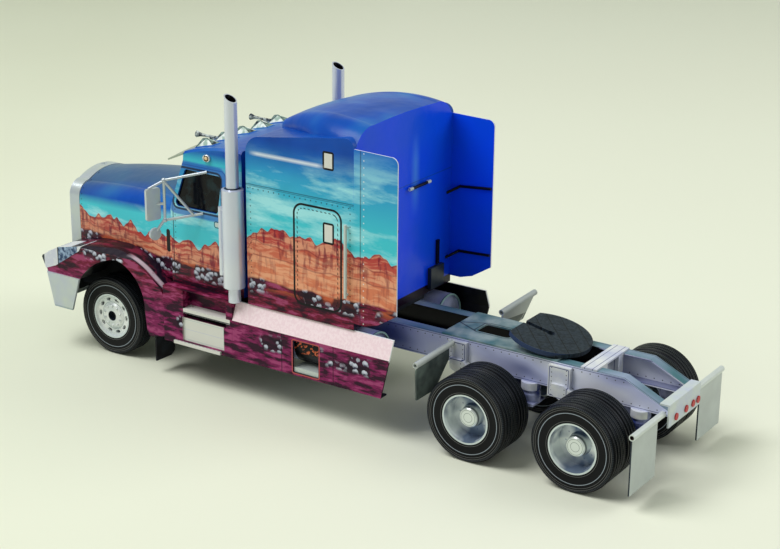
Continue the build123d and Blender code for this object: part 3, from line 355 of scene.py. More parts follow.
def rounded(across, up, low, high, corner):
    """Distance to the edge of a rectangle with round corners, negative inside.

    low and high are its corners as (across, up).
    """
    half = ((high[0] - low[0]) / 2, (high[1] - low[1]) / 2)
    centre = ((high[0] + low[0]) / 2, (high[1] + low[1]) / 2)
    over_across = abs(across - centre[0]) - (half[0] - corner)
    over_up = abs(up - centre[1]) - (half[1] - corner)
    outside = distance(over_across.larger(0), over_up.larger(0))
    return outside + over_across.larger(over_up).smaller(0) - corner


def outline(across, up, low, high, corner, width, soft=0.15):
    """Line of that width round a rectangle with round corners."""
    return rounded(across, up, low, high, corner).near(0, width, soft)


def filled(across, up, low, high, corner, soft=0.2):
    """1 inside a rectangle with round corners."""
    return rounded(across, up, low, high, corner).below(0, soft)


def rivets(across, up, line, pitch, radius):
    """Dots along the straight line up = line, one in each pitch."""
    along = ((across / pitch).math("FRACT") - 0.5) * pitch
    return distance(along, up - line).below(radius, 0.15)


# Printed landscape: sky, clouds, rolling dunes in layers, ground with streaks and pebbles


def horizon(paint):
    """Height of the horizon: level along the nose and cab, and higher along the sleeper."""
    return paint.aft.above(93, 14) * sizes().horizon_rise + sizes().horizon


def ridge(paint, base, swell, length, seed):
    """Height of a dune line: slow noise along the truck, a little of it across."""
    along = paint.vector(paint.x * 0.3 + seed, paint.aft, 0.0)
    return paint.grain(length, detail=2.0, at=along) * swell + (base - swell / 2)


def sky(paint):
    """Turquoise over the horizon to blue above, with pale streaks of cloud."""
    height = paint.z - horizon(paint)
    rise = ((height - 12) / 46).math("ADD", 0.0, clamp=True)
    stretched = paint.vector(paint.x, paint.aft * 0.34, paint.z * 1.5)
    streaks = paint.grain(16, detail=5.0, roughness=0.62, at=stretched).above(0.55, 0.16)
    return paint.layers(
        "sky_low",
        (rise, "sky_high"),
        (streaks * height.below(44, 20) * 0.85, "cloud"),
    )


def dunes(paint, base):
    """Three dune lines over the sky, each with its own pale layers and crevices."""
    layers = (  # base height over the horizon, swell, length, seed, share of the near colour
        (5.0, 24.0, 13.0, 3.0, 0.0),
        (-2.0, 12.0, 21.0, 41.0, 0.45),
        (-9.0, 8.0, 26.0, 77.0, 0.9),
    )
    upright = paint.vector(paint.aft, paint.x, paint.z * 0.25)
    crevice = paint.grain(2.4, detail=4.0, at=upright).above(0.56, 0.12)
    glow = (horizon(paint) - 4 - paint.z).above(0, 16)
    for rise, swell, length, seed, nearness in layers:
        top = ridge(paint, horizon(paint) + rise, swell, length, seed)
        depth = top - paint.z
        bent = paint.z + paint.grain(15, detail=2.0) * 7
        sway = paint.vector(paint.x * 0.3 + seed, paint.aft * 0.18, bent)
        strata = paint.grain(2.4, detail=3.0, roughness=0.6, at=sway).above(0.5, 0.14)
        flat = [a + (b - a) * nearness for a, b in zip(inks().dune_far, inks().dune_near)]
        shaded = paint.layers(
            flat,
            (glow * 0.22, "dune_pale"),
            (strata * 0.55, "dune_pale"),
            (crevice * (0.8 - nearness * 0.5), "ground"),
            (depth.near(0.5, 0.7, 0.5) * 0.5, "ground"),
        )
        base = paint.blend(depth.above(0, 0.4), base, shaded)
    return base


def stones(paint, size):
    """Rounded stones: 1 on each, and their shade from 0 below to 1 above."""
    height = paint.z * 1.15 + paint.grain(1.8, detail=2.0) * 2.2
    here = paint.cells(size, at=paint.vector(paint.x, paint.aft, height))
    above = paint.cells(size, at=paint.vector(paint.x, paint.aft, height + size * 0.25))
    light = ((above - here) * 2.0).math("ADD", 0.45, clamp=True)
    return here.below(0.47, 0.08), light


def ground(paint, base):
    """Maroon to purple ground with dark and pink streaks, and belts of rounded stones."""
    top = paint.aft.above(93, 14) * 3.5 + sizes().ground_top
    low = ((52 - paint.z) / 16).math("ADD", 0.0, clamp=True)
    stretched = paint.vector(paint.x, paint.aft * 0.30, paint.z * 1.3)
    streaks = paint.grain(4.2, detail=6.0, roughness=0.62, at=stretched)
    warm = paint.grain(6.5, detail=4.0, at=stretched).above(0.56, 0.08)
    body, light = stones(paint, 3.6)
    clusters = paint.grain(16, detail=1.0, at=paint.vector(paint.x, paint.aft, paint.z * 0.8))
    belt = (paint.z - top).between(-7, 1, 2) * clusters.above(0.46, 0.04)
    scattered = belt.larger(paint.z.between(30, 38, 2) * clusters.above(0.55, 0.04))
    soil = paint.layers(
        "ground",
        (low, "ground_low"),
        (streaks.above(0.52, 0.08) * 0.9, "shade"),
        (streaks.below(0.43, 0.07) * 0.45, (0.52, 0.10, 0.26)),
        (warm * (paint.z - top).between(-4, 9, 4) * 0.8, "dune_near"),
        (scattered * 0.85, "shade"),
        (body * scattered, paint.blend(light, (0.03, 0.03, 0.07), "pebble")),
    )
    edge = ridge(paint, top, 6.0, 19.0, 11.0) - paint.z
    return paint.blend(edge.above(0, 1.2), base, soil)


def landscape(paint):
    return ground(paint, dunes(paint, sky(paint)))


def roof_ink_and_glare(paint):
    """Deep blue with soft patches of teal and of bright blue, painted highlights of glare."""
    patches = paint.grain(30, detail=2.0)
    return paint.layers(
        "roof_blue",
        (patches.above(0.46, 0.3) * 0.6, "sky_high"),
        (patches.above(0.60, 0.2) * 0.55, (0.03, 0.21, 0.42)),
    )


def wall_ink_and_glare(paint):
    """Bright blue behind the sleeper, darker and greener in soft patches, with a pale upright band of
    painted highlight.
    """
    base = paint.mottled(40, 0.45, "wall_blue", "sky_high", soft=0.35, detail=2.0)
    glare = paint.x.near(-9, 1.5, 7) * paint.z.between(100, 128, 14)
    return paint.blend(glare * 0.45, base, (0.16, 0.55, 0.80))


# Surfaces


def surface(name, points, close=False):
    """Mesh of a grid of points, rows by columns, or of several grids alike.

    close joins each row's two ends.
    """
    rows, columns = points.shape[-3:-1]
    copies = points.reshape(-1, rows * columns, 3)
    index = np.arange(rows * columns).reshape(rows, columns)
    if close:
        index = np.hstack((index, index[:, :1]))
    quads = np.stack((index[:-1, :-1], index[1:, :-1], index[1:, 1:], index[:-1, 1:]), axis=-1)
    quads = quads.reshape(1, -1, 4) + np.arange(len(copies))[:, None, None] * rows * columns
    mesh = bpy.data.meshes.new(name)
    mesh.from_pydata((copies.reshape(-1, 3) * MM).tolist(), [], quads.reshape(-1, 4).tolist())
    made = bpy.data.objects.new(name, mesh)
    bpy.context.scene.collection.objects.link(made)
    return made


def turned(name, centres, axis, profile, steps=32, flat=1.0):
    """A profile of (along the axis, radius) turned round an axis through each centre.

    The point at turn a and profile step p is
    centre + along(p) * axis + radius(p) * (cos a * across + sin a * up), where up is shortened by flat.
    """
    axis = np.array(axis, float)
    helper = np.array((0.0, 0.0, 1.0)) if abs(axis[2]) < 0.9 else np.array((1.0, 0.0, 0.0))
    across = np.cross(helper, axis)
    up = np.cross(axis, across) * flat
    angle = np.linspace(0, 2 * np.pi, steps, endpoint=False)
    along, radius = np.array(profile, float).T
    ring = np.cos(angle)[:, None] * across + np.sin(angle)[:, None] * up
    shape = along[:, None, None] * axis + radius[:, None, None] * ring[None]
    centres = np.atleast_2d(np.array(centres, float))
    return surface(name, centres[:, None, None] + shape[None], close=True)


def slab(name, run, low, high, place, thickness):
    """An upright sheet with closed edges.

    Along the run its lower edge is low and its upper edge is high, and place turns (run, offset, height)
    into x, y, z.
    """
    half = thickness / 2
    offset = np.array((-half, -half, half, half))
    height = np.stack((low, high, high, low), axis=1)
    corners = np.stack(np.broadcast_arrays(run[:, None], offset[None], height), axis=-1)
    first, last = (corners[row].mean(axis=0, keepdims=True).repeat(4, axis=0)[None] for row in (0, -1))
    points = np.concatenate((first, corners, last))
    return surface(name, np.stack(place(*np.moveaxis(points, -1, 0)), axis=-1), close=True)


def finish_piece(made, body, material, smooth=True):
    """Merges doubled points, turns faces outwards, and gives the piece its body, slot and material."""
    cleaned = bmesh.new()
    cleaned.from_mesh(made.data)
    bmesh.ops.remove_doubles(cleaned, verts=cleaned.verts, dist=1e-6)
    bmesh.ops.recalc_face_normals(cleaned, faces=cleaned.faces)
    cleaned.to_mesh(made.data)
    cleaned.free()
    made.data.polygons.foreach_set("use_smooth", [smooth] * len(made.data.polygons))
    made.data.materials.append(material)
    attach(made, body)
    return made


def both(stem):
    return tuple(f"{stem}_{side}" for side, _ in SIDES)


class CardOperator(bpy.types.Operator):
    """Base of the operators below."""

    bl_options = {"REGISTER", "UNDO"}

    def execute(self, context):
        self.make(context)
        return {"FINISHED"}


class TRUCK_OT_print_sleeper(CardOperator):
    """Prints the sleeper, its roof and the extenders."""

    bl_idname = "truck.print_sleeper"
    bl_label = "Print the sleeper"

    def make(self, context):
        seam, rivet = sizes().seam, sizes().rivet
        paint, aft, z = card("sleeper landscape card")
        spaced = ((aft + z) / 2.4).math("FRACT").near(0.5, 0.5, 0.1)
        printed = paint.layers(
            landscape(paint),
            (outline(aft, z, *SLEEPER_DOOR, 5.0, 1.1), "black"),
            (outline(aft, z, *SLEEPER_DOOR_STITCHES, 3.6, 0.5) * spaced * 0.9, "black"),
            (filled(aft, z, *LOW_WINDOW, 0.6), "cream"),
            (outline(aft, z, *LOW_WINDOW, 0.6, 1.0), "black"),
            *[(rivets(z, aft, line, 3.1, rivet) * 0.7, "shade") for line in (99.0, 157.4)],
            (z.near(111.0, seam, 0.2) * 0.7, "shade"),
            (rivets(aft, z, 109.6, 3.1, rivet) * 0.8, "shade"),
        )
        proud = aft.above(SLEEPER_REAR + 0.3, 0.1)
        bracket = paint.x.between(-33.2, -20.9) * z.between(51.8, 63.2) * proud
        tips = abs(paint.x + 10.95).above(6.4, 0.2) * z.above(100, 0.1)
        wall = paint.layers(
            wall_ink_and_glare(paint),
            (z.near(110.5, 0.5) * 0.6, "roof_blue"),
            (z.below(54.2, 0.5), "shade"),
            (bracket, "slate"),
            (rivets(z, paint.x, 33.0, 3.4, 0.3) * 0.6, "roof_blue"),
            (proud * z.above(63.3, 0.1), paint.blend(tips, "black", "silver")),
        )
        base = paint.layers(
            wall,
            (paint.side.above(SLEEPER_SIDE - 0.05, 0.02), printed),
            (paint.side.above(SLEEPER_SIDE + 0.1, 0.05), "silver"),
        )
        paint.cover(base, 0.30, "sleeper_body", wrinkle=17, height=0.0006, coat=0.05, sheen=0.15)

        paint, aft, z = card("sleeper roof card")
        # Painted highlight: a white line along the fold in the roof's side.
        fold_highlight = z.near(127.2, 1.0, 1.8) * aft.between(101, 141, 5)
        upper = paint.layers(
            landscape(paint),
            (z.above(127, 16), roof_ink_and_glare(paint)),
            (filled(aft, z, *HIGH_WINDOW, 0.6), "cream"),
            (outline(aft, z, *HIGH_WINDOW, 0.6, 1.0), "black"),
            (z.near(111.6, 0.5) * 0.6, "shade"),
            (fold_highlight * 0.95, (0.93, 0.96, 0.97)),
        )
        base = paint.layers(
            roof_ink_and_glare(paint),
            (paint.side.above(SLEEPER_SIDE - 0.05, 0.02), upper),
            (aft.above(SLEEPER_REAR - 0.05, 0.02), wall_ink_and_glare(paint)),
        )
        paint.cover(base, 0.30, "sleeper_roof", wrinkle=17, height=0.0010, coat=0.10, sheen=0.12)

        paint, aft, z = card("extender card")
        outer = paint.layers(
            landscape(paint),
            (aft.near(163.2, 0.7) * 0.5, "shade"),
            (rivets(z, aft, 165.0, 3.3, rivet) * 0.7, "white"),
        )
        base = paint.layers(
            wall_ink_and_glare(paint),
            (paint.side.above(SLEEPER_SIDE - 0.1, 0.05), outer),
            (paint.side.below(SLEEPER_SIDE - 0.9, 0.1), "black"),
            (paint.side.between(SLEEPER_SIDE - 0.7, SLEEPER_SIDE - 0.1, 0.1), "white"),
        )
        paint.cover(base, 0.32, *both("side_extender"), wrinkle=15, height=0.0004, coat=0.05, sheen=0.15)


class TRUCK_OT_print_cab(CardOperator):
    """Prints the cab, its roof, the visor and the glazing."""

    bl_idname = "truck.print_cab"
    bl_label = "Print the cab"

    def make(self, context):
        seam, rivet = sizes().seam, sizes().rivet
        paint, aft, z = card("cab landscape card")
        printed = paint.layers(
            landscape(paint),
            (z.near(114.5, 3, 5) * 0.6, "sky_low"),
            (outline(aft, z, *CAB_DOOR, 3.0, seam) * 0.8, "shade"),
            (outline(aft, z, *CAB_PILLARS, 3.0, 4.0, 1.0) * 0.75, (0.003, 0.10, 0.50)),
            (outline(aft, z, *CAB_GASKET, 3.0, 1.1) * 0.85, "black"),
            (filled(aft, z, *DOOR_HANDLE, 0.8), "silver"),
            (outline(aft, z, *DOOR_HANDLE_EDGE, 1.0, 0.4), "black"),
            *[(rivets(z, aft, line, 3.0, rivet) * 0.7, "shade") for line in (46.9, 84.6)],
        )
        is_side = paint.side.above(CAB_SIDE - 0.05, 0.02).larger(aft.below(44.3, 0.1) * z.below(88.5, 0.2))
        inside = paint.side.below(CAB_SIDE - 1.1, 0.02) * aft.between(45.1, 88.9, 0.02)
        inside = inside * z.between(51.1, 116, 0.02)
        base = paint.layers(roof_ink_and_glare(paint), (is_side, printed), (inside, "black"))
        paint.cover(base, 0.34, "cab_body", wrinkle=13, height=0.0004, coat=0.08)

        paint, aft, z = card("cab roof card")
        run = aft - 53.6
        proud = (z - (run * 0.3318 - run * run * 0.00504 + 119.4)).above(0.45, 0.15)
        # Roof lamps: silver pyramids with painted light on their side faces and painted shade on their front
        # and back faces, and dark lines at their edges.
        across = abs(((paint.x / 14.5 + 0.5).math("FRACT") - 0.5) * (14.5 / 4))
        along = abs((aft - 62.5) / 7)
        edges = (across - along).near(0, 0.10, 0.05).larger(across.larger(along).above(0.90, 0.04))
        lamps = paint.layers(
            paint.mottled(2, 1, (0.02, 0.03, 0.04), (0.24, 0.36, 0.31), detail=1.0),
            (
                (across - along).above(0, 0.06),
                paint.mottled(3, 1, (0.86, 0.92, 0.86), (0.36, 0.50, 0.42), soft=0.2, detail=1.0),
            ),
            (edges * 0.85, "slate"),
        )
        horn = paint.mottled(2, 1, "silver", "slate", soft=0.2)
        side = paint.side.above(CAB_SIDE - 0.05, 0.02) * z.below(118.5, 5)
        base = paint.layers(
            roof_ink_and_glare(paint),
            (side * 0.85, "sky_low"),
            (proud, paint.blend(paint.side.between(19.7, 23.7, 0.1), lamps, horn)),
        )
        paint.cover(base, 0.28, "cab_roof", wrinkle=15, height=0.0005, coat=0.10, sheen=0.12)

        paint = Paint("visor card")
        base = paint.mottled(7, 0.4, (0.42, 0.46, 0.36), "teal", soft=0.4)
        paint.cover(base, 0.35, "sun_visor", metallic=0.2)

        paint = Paint("window card")
        base = paint.mottled(9, 0.12, "black", "teal", edge=0.58, soft=0.1, detail=4.0)
        paint.cover(base, 0.10, "cab_glazing", sheen=0.15)


class TRUCK_OT_print_nose(CardOperator):
    """Prints the hood, the fenders, the grille, the lamps and the bumper."""

    bl_idname = "truck.print_nose"
    bl_label = "Print the nose"

    def make(self, context):
        rivet = sizes().rivet
        paint, aft, z = card("hood landscape card")
        # The hood's top: roof blue with a grey-teal painted highlight of glare toward its middle.
        crown_glare = paint.blend(paint.side.below(23, 12) * 0.75, roof_ink_and_glare(paint), (0.06, 0.12, 0.17))
        base = paint.layers(
            landscape(paint),
            ((z - (aft * 0.09 + 80.5)).above(0, 5.0), crown_glare),
            (filled(aft, z, *HOOD_VENT, 1.2), "black"),
            *[(rivets(z, aft, line, 2.8, rivet) * 0.8, "shade") for line in (-30.4, 42.6)],
        )
        paint.cover(base, 0.28, "hood", wrinkle=13, height=0.0006, coat=0.08, sheen=0.15)

        paint, aft, z = card("fender card")
        streaked = paint.grain(5.0, detail=5.0, at=paint.vector(paint.x, aft * 0.4, z))
        glare = aft.between(20, 42, 5) * paint.side.between(FENDER_SIDE - 4.5, FENDER_SIDE - 1.5, 1.0)
        pod = paint.side.above(33.0, 0.1) * aft.below(-27.5, 0.2) * z.above(48.2, 0.2)
        # Painted shade: the fender's inner faces round the wheel are black.
        under = distance(aft, z - AXLE_HEIGHT).below(38.2, 0.3) * z.above(22, 0.5)
        base = paint.layers(
            (0.16, 0.012, 0.04),
            (streaked.above(0.44, 0.1), "shade"),
            (glare * streaked.above(0.38, 0.1) * 0.8, (0.72, 0.58, 0.66)),
            (paint.side.above(FENDER_SIDE - 0.05, 0.02), ground(paint, "ground_low")),
            (pod, "white"),
            (under * paint.side.below(FENDER_SIDE - 0.1, 0.05), "black"),
        )
        paint.cover(base, 0.30, *both("fender"), wrinkle=9, height=0.0006, coat=0.06, sheen=0.15)

        paint = Paint("bright nose card")
        base = paint.mottled(13, 0.5, "silver", "lilac", edge=0.55, detail=2.0)
        base = paint.blend(paint.z.below(23.4, 0.6) * 0.4, base, "teal")
        paint.cover(base, 0.30, "bumper", metallic=0.35, wrinkle=11, height=0.0003)

        paint = Paint("grille shell card")
        base = paint.mottled(12, 0.4, "silver", "lilac", detail=2.0)
        paint.cover(base, 0.28, "grille_shell", metallic=0.4)

        paint = Paint("grille card")
        base = paint.blend(paint.x.repeated(0.9, 0.35), "silver", "slate")
        paint.cover(base, 0.35, "grille", metallic=0.3)

        paint, aft, z = card("lamp pod card")
        flank = paint.side.above(45.2, 0.05)
        # Dark lens glass with pale blue patches of painted reflection.
        glass_and_reflections = paint.mottled(2.5, 1, (0.02, 0.05, 0.13), (0.30, 0.42, 0.60), edge=0.52, soft=0.2)
        front = aft.below(-37.6, 0.3) * z.below(49.6, 0.2)
        fluted = paint.blend(paint.side.repeated(1.2, 0.5), (0.62, 0.68, 0.72), (0.16, 0.20, 0.25))
        base = paint.layers(
            paint.mottled(6, 0.5, "white", "lilac", soft=0.2),
            (flank * aft.between(-29, -15, 0.4), glass_and_reflections),
            (aft.near(-29, 0.7) + flank * aft.below(-39.0, 0.5), "slate"),
            (front * filled(paint.side, z, *HEADLAMP_LENS, 0.9), fluted),
            (front * outline(paint.side, z, *HEADLAMP_LENS, 0.9, 0.5), "slate"),
        )
        paint.cover(base, 0.25, *both("headlamp"), coat=0.12)


class TRUCK_OT_print_sides(CardOperator):
    """Prints the steps, the tank fairings, the tanks, the splash flaps and the underframe."""

    bl_idname = "truck.print_sides"
    bl_label = "Print the sides"

    def make(self, context):
        paint, aft, z = card("tank fairing card")
        seams = (aft.near(149.7, 0.5) + aft.near(119.0, 0.5)).smaller(1.0)
        # Painted highlight: a pale pink band of glare on the sloped top.
        glare_band = paint.mottled(1.4, 0.25, (0.93, 0.76, 0.80), (0.74, 0.48, 0.56), soft=0.1, detail=4.0)
        outside = paint.layers(
            ground(paint, "ground_low"),
            (seams * 0.8, "shade"),
            (outline(aft, z, *STEP_OPENING, 1.0, 0.5), (0.50, 0.10, 0.08)),
            (z.above(40.5, 0.2), glare_band),
        )
        slope = (paint.side + (z - 40.5) * 0.418).above(FAIRING_SIDE - 0.25, 0.1)
        base = paint.layers(
            "black",
            (paint.side.above(FAIRING_SIDE - 0.05, 0.02).larger(slope * z.above(40.5, 0.1)), outside),
            (aft.above(181.5, 0.1).larger(z.above(49.5, 0.05)), "white"),
        )
        paint.cover(base, 0.30, *both("tank_fairing"), wrinkle=12, height=0.0005, coat=0.04, sheen=0.15)

        paint, aft, z = card("tank card")
        radius = distance(paint.side - TANK_AXIS[0], z - TANK_AXIS[1])
        inside = aft.between(125, 142, 0.1)
        hooks = inside * paint.grain(2.2, detail=3.0).above(0.56, 0.03) * z.above(31.5, 1)
        base = paint.layers(
            paint.mottled(9, 0.5, "lilac", "deep"),
            (aft.above(165.0, 0.1), "black"),
            (aft.above(165.3, 0.1) * radius.above(10.7, 0.2), (0.30, 0.48, 0.46)),
            (inside, "black"),
            (hooks, "dune_near"),
            (paint.side.above(34.0, 0.1) * z.below(24.5, 0.1) * inside, "silver"),
        )
        paint.cover(base, 0.35, *both("fuel_tank"), metallic=0.2)

        paint, aft, z = card("step card")
        face = aft.between(56.4, 83.0) * z.between(22.7, 35.1) * paint.side.above(44.9, 0.1)
        lid = paint.layers(
            "cream",
            (z.near(29.0, 0.3) * 0.4, "lilac"),
            (outline(aft, z, *BATTERY_LID, 0.6, 0.4), "silver"),
        )
        gap = aft.between(57.0, 84.6) * z.between(35.2, 37.9) * paint.side.below(45.8, 0.1)
        low_tread = paint.side.above(45.6, 0.1) * z.below(22.15, 0.1) * aft.between(50.9, 81.1)
        base = paint.layers(
            ground(paint, "ground_low"),
            (
                aft.between(57.0, 87.0) * z.between(37.8, 40.3),
                paint.blend(z.near(38.2, 0.5), "cream", "slate"),
            ),
            (face, lid),
            (gap, "black"),
            (low_tread, paint.blend(paint.side.near(46.4, 0.25), "cream", "slate")),
            (paint.side.below(39.0, 0.1), "black"),
        )
        paint.cover(base, 0.32, *both("step_box"), wrinkle=9, height=0.0003, sheen=0.15)

        paint = Paint("black card")
        base = paint.mottled(6, 0.5, "black", "slate")
        paint.cover(base, 0.5, "underframe", *both("splash_flap"))


class TRUCK_OT_print_chassis(CardOperator):
    """Prints the rails, the cross members, the axles, the fifth wheel and the flaps."""

    bl_idname = "truck.print_chassis"
    bl_label = "Print the chassis"

    def make(self, context):
        self.print_rails()
        self.print_axles()
        self.print_coupling()
        self.print_flaps()

    def print_rails(self):
        """Frame rails and the two cross members."""
        rivet = sizes().rivet * 0.8
        paint, aft, z = card("frame rail card")
        patches = paint.grain(17, detail=1.5, at=paint.vector(paint.x, aft * 0.45, z))
        outer = paint.layers(
            (0.90, 0.92, 0.98),
            (patches.above(0.42, 0.25), (0.56, 0.60, 0.86)),
            (patches.above(0.63, 0.16) * 0.75, "deep"),
            (aft.below(176, 14) * 0.5, "deep"),
            (rivets(aft, z, 36.2, 4.2, rivet), "slate"),
            (rivets(aft, z, 45.4, 4.2, rivet), "slate"),
            (z.near(35.0, 0.25, 0.1) + z.near(46.6, 0.25, 0.1), "deep"),
        )
        top = paint.layers(
            "teal",
            (patches.above(0.5, 0.3) * 0.6, "lilac"),
            (paint.side.near(15.8, 0.3, 0.1), "slate"),
        )
        upper_edge = (287.5 - aft).smaller(0) * 0.4586 + RAIL_TOP
        base = paint.layers(
            # Painted shade: the inner faces are black forward of aft 262; behind it they are printed like
            # the outer faces.
            paint.blend(aft.above(262, 2), "black", outer),
            (paint.side.above(16.5, 0.05), outer),
            ((z - upper_edge).above(-0.12, 0.05), top),
        )
        paint.cover(base, 0.40, *both("frame_rail"), metallic=0.1, wrinkle=14, height=0.0002)

        paint = Paint("cross member card")
        base = paint.mottled(9, 0.7, "white", "lilac")
        base = paint.blend(paint.aft.near(268, 0.3) + paint.aft.near(272, 0.3), base, "deep")
        paint.cover(base, 0.42, "bogie_cross_member", metallic=0.15)

        paint = Paint("tail card")
        base = paint.mottled(8, 0.5, "silver", "lilac")
        base = paint.blend(paint.aft.above(310.5, 0.05), base, "lamp_red")
        paint.cover(base, 0.35, "tail_cross_member")

    def print_axles(self):
        """Drive axles with their hangers, and the front axle."""
        paint, aft, z = card("axle card")
        pale = paint.mottled(8, 0.6, "white", "lilac", edge=0.52)
        for low, high in HANGERS:
            pale = paint.layers(
                pale,
                (outline(aft, z, low, high, 0.6, 0.35, 0.1), "deep"),
                (rivets(z, aft, low[0] + 1.1, 2.2, 0.25), "slate"),
                (rivets(z, aft, high[0] - 1.1, 2.2, 0.25), "slate"),
            )
        base = paint.layers(
            paint.mottled(6, 1, "deep", "lilac"),
            (paint.side.above(16.7, 0.1) * z.above(30.8, 0.1), pale),
            (paint.side.below(12, 0.5) * 0.7, "black"),
        )
        paint.cover(base, 0.42, "drive_axle_1", "drive_axle_2", metallic=0.1)

        paint = Paint("front axle card")
        base = paint.mottled(6, 1, "black", "slate")
        paint.cover(base, 0.5, "front_axle")

    def print_coupling(self):
        """Fifth wheel with a basket weave of grooves, and its mount."""
        paint = Paint("fifth wheel card")
        aft, x = paint.aft - FIFTH_WHEEL_AFT, paint.x
        grooves = (x + aft).repeated(9.0, 0.7) * (x - aft).repeated(18.0, 9.0) + (x - aft).repeated(9.0, 0.7)
        base = paint.layers(
            paint.mottled(1.4, 1, (0.026, 0.038, 0.052), (0.012, 0.018, 0.026), soft=0.2, detail=4.0),
            (grooves.smaller(1.0) * 0.9, "black"),
            (distance(aft, x).above(19.75, 0.1), (0.03, 0.05, 0.11)),
        )
        paint.cover(base, 0.42, "fifth_wheel", sheen=0.15, wrinkle=8, height=0.0002)

        paint = Paint("mount card")
        aft = paint.aft
        brace = (paint.side - (aft - 192) * 0.5).near(0, 1.0) * aft.below(204, 0.4)
        base = paint.layers(
            paint.mottled(9, 0.5, "teal", "silver"),
            (brace * 0.85, "slate"),
            (outline(paint.x, aft, *MOUNT_OPENING, 2.6, 0.8) * 0.8, "slate"),
        )
        paint.cover(base, 0.42, "fifth_wheel_mount")

    def print_flaps(self):
        """Mudflaps, quarter flaps and the hanger tube."""
        paint = Paint("flap card")
        base = paint.mottled(14, 0.5, "flap", "silver", soft=0.35)
        base = paint.blend(paint.aft.below(307.8, 0.05), base, "slate")
        paint.cover(base, 0.42, *both("mudflap"))

        paint = Paint("quarter flap card")
        across, z = paint.side, paint.z
        tube = (across * 0.1148 + z - 47.4).above(-1.7, 0.1)
        tube = tube.larger(paint.x.below(0, 0.1) * z.above(47.0, 0.2))
        base = paint.mottled(7, 0.7, (0.12, 0.155, 0.14), (0.022, 0.03, 0.032))
        base = paint.blend(across.near(46.9, 0.7, 0.1).larger(tube), base, "flap")
        paint.cover(base, 0.42, *both("quarter_flap"))

        paint = Paint("hanger tube card")
        bore = distance(paint.aft - HANGER_AXIS[0], paint.z - HANGER_AXIS[1]).below(1.0, 0.1)
        base = paint.blend(paint.grain(6) * 0.5, "silver", "white")
        base = paint.blend(bore, base, (0.05, 0.018, 0.012))
        paint.cover(base, 0.35, "mudflap_hanger", metallic=0.2)


class TRUCK_OT_print_brightwork(CardOperator):
    """Prints the exhaust stacks and the door mirrors."""

    bl_idname = "truck.print_brightwork"
    bl_label = "Print the brightwork"

    def make(self, context):
        paint, aft, z = card("stack card")
        # Painted shade: the stack's hollow top is black inside.
        bore = distance(paint.side - STACK_AXIS[0], aft - STACK_AXIS[1]).below(2.6, 0.1) * z.above(141, 1)
        base = paint.layers(
            paint.mottled(30, 0.6, (0.60, 0.64, 0.80), (0.82, 0.85, 0.86), soft=0.4, detail=1.0),
            (z.near(108.3, 0.5) + z.near(57.2, 0.5), "slate"),
            (bore, "black"),
        )
        paint.cover(base, 0.26, *both("exhaust_stack"), metallic=0.45)

        paint = Paint("mirror card")
        base = paint.mottled(8, 0.6, "silver", "lilac", soft=0.4)
        paint.cover(base, 0.28, *both("mirror"), metallic=0.45)


class TRUCK_OT_print_wheels(CardOperator):
    """Prints the tyres and the wheels, each pattern centred on its own axle."""

    bl_idname = "truck.print_wheels"
    bl_label = "Print the wheels"

    def make(self, context):
        for axle in AXLES:
            centre = middle(f"tyre_{axle}_left").y - FRONT_AXLE
            self.print_tyres(axle, centre)
            self.print_discs(axle, centre)

    def round_axle(self, paint, centre):
        """Distance from a wheel's axle, and the angle round it in degrees."""
        aft, z = paint.aft - centre, paint.z - AXLE_HEIGHT
        return distance(aft, z), aft.math("ARCTAN2", z) * (180 / math.pi)

    def print_tyres(self, axle, centre):
        paint = Paint(f"{axle} tyre card")
        radius, angle = self.round_axle(paint, centre)
        tread = radius.above(19.7, 0.2)
        ribs = (paint.x / RIB_PITCH).math("FRACT").near(0.5, 0.5, 0.3)
        sipes = (angle + (paint.x / RIB_PITCH).math("FLOOR") * 1.7).repeated(2.5, 1.2, 0.7)
        base = paint.layers(
            "tyre",
            (tread * ribs * sipes * 0.45, (0.08, 0.10, 0.12)),
            (radius.near(16.84, 0.28, 0.12) * 0.7, (0.50, 0.58, 0.66)),
            *[(radius.near(ring, 0.14, 0.1) * 0.22, "white") for ring in (13.0, 18.4, 19.3)],
        )
        relief = ribs * tread + radius.near(18.9, 0.4) * 0.3
        paint.cover(base, 0.40, *both(f"tyre_{axle}"), bump=relief, height=0.00025, sheen=0.15)

    def print_discs(self, axle, centre):
        paint = Paint(f"{axle} wheel card")
        radius, angle = self.round_axle(paint, centre)
        glints = (angle * (math.pi / 90) + 2.0).math("SINE") * 0.25
        shade = (glints + paint.grain(8, detail=1.0)).above(0.5, 0.35)
        if axle == "front":
            metallic = 0.2
            base = paint.layers(
                (0.82, 0.85, 0.84),
                (shade * 0.45, (0.46, 0.55, 0.58)),
                (radius.near(7.4, 0.35, 0.2) * 0.5, "teal"),
                (radius.below(2.7, 0.15), "slate"),
            )
        else:
            metallic = 0.5
            nuts = radius.near(7.2, 0.8, 0.2) * angle.repeated(36.0, 5.0, 3.0)
            base = paint.layers(
                (0.80, 0.85, 0.86),
                (shade, (0.15, 0.20, 0.29)),
                (radius.below(5.2, 0.2), (0.74, 0.80, 0.77)),
                *[(radius.near(ring, 0.22, 0.1) * 0.7, "slate") for ring in (2.2, 3.7, 4.9)],
                (nuts * 0.5, "deep"),
            )
        base = paint.blend(radius.above(11.35, 0.2), base, (0.66, 0.74, 0.75))
        paint.cover(base, 0.26, *both(f"wheel_{axle}"), metallic=metallic)


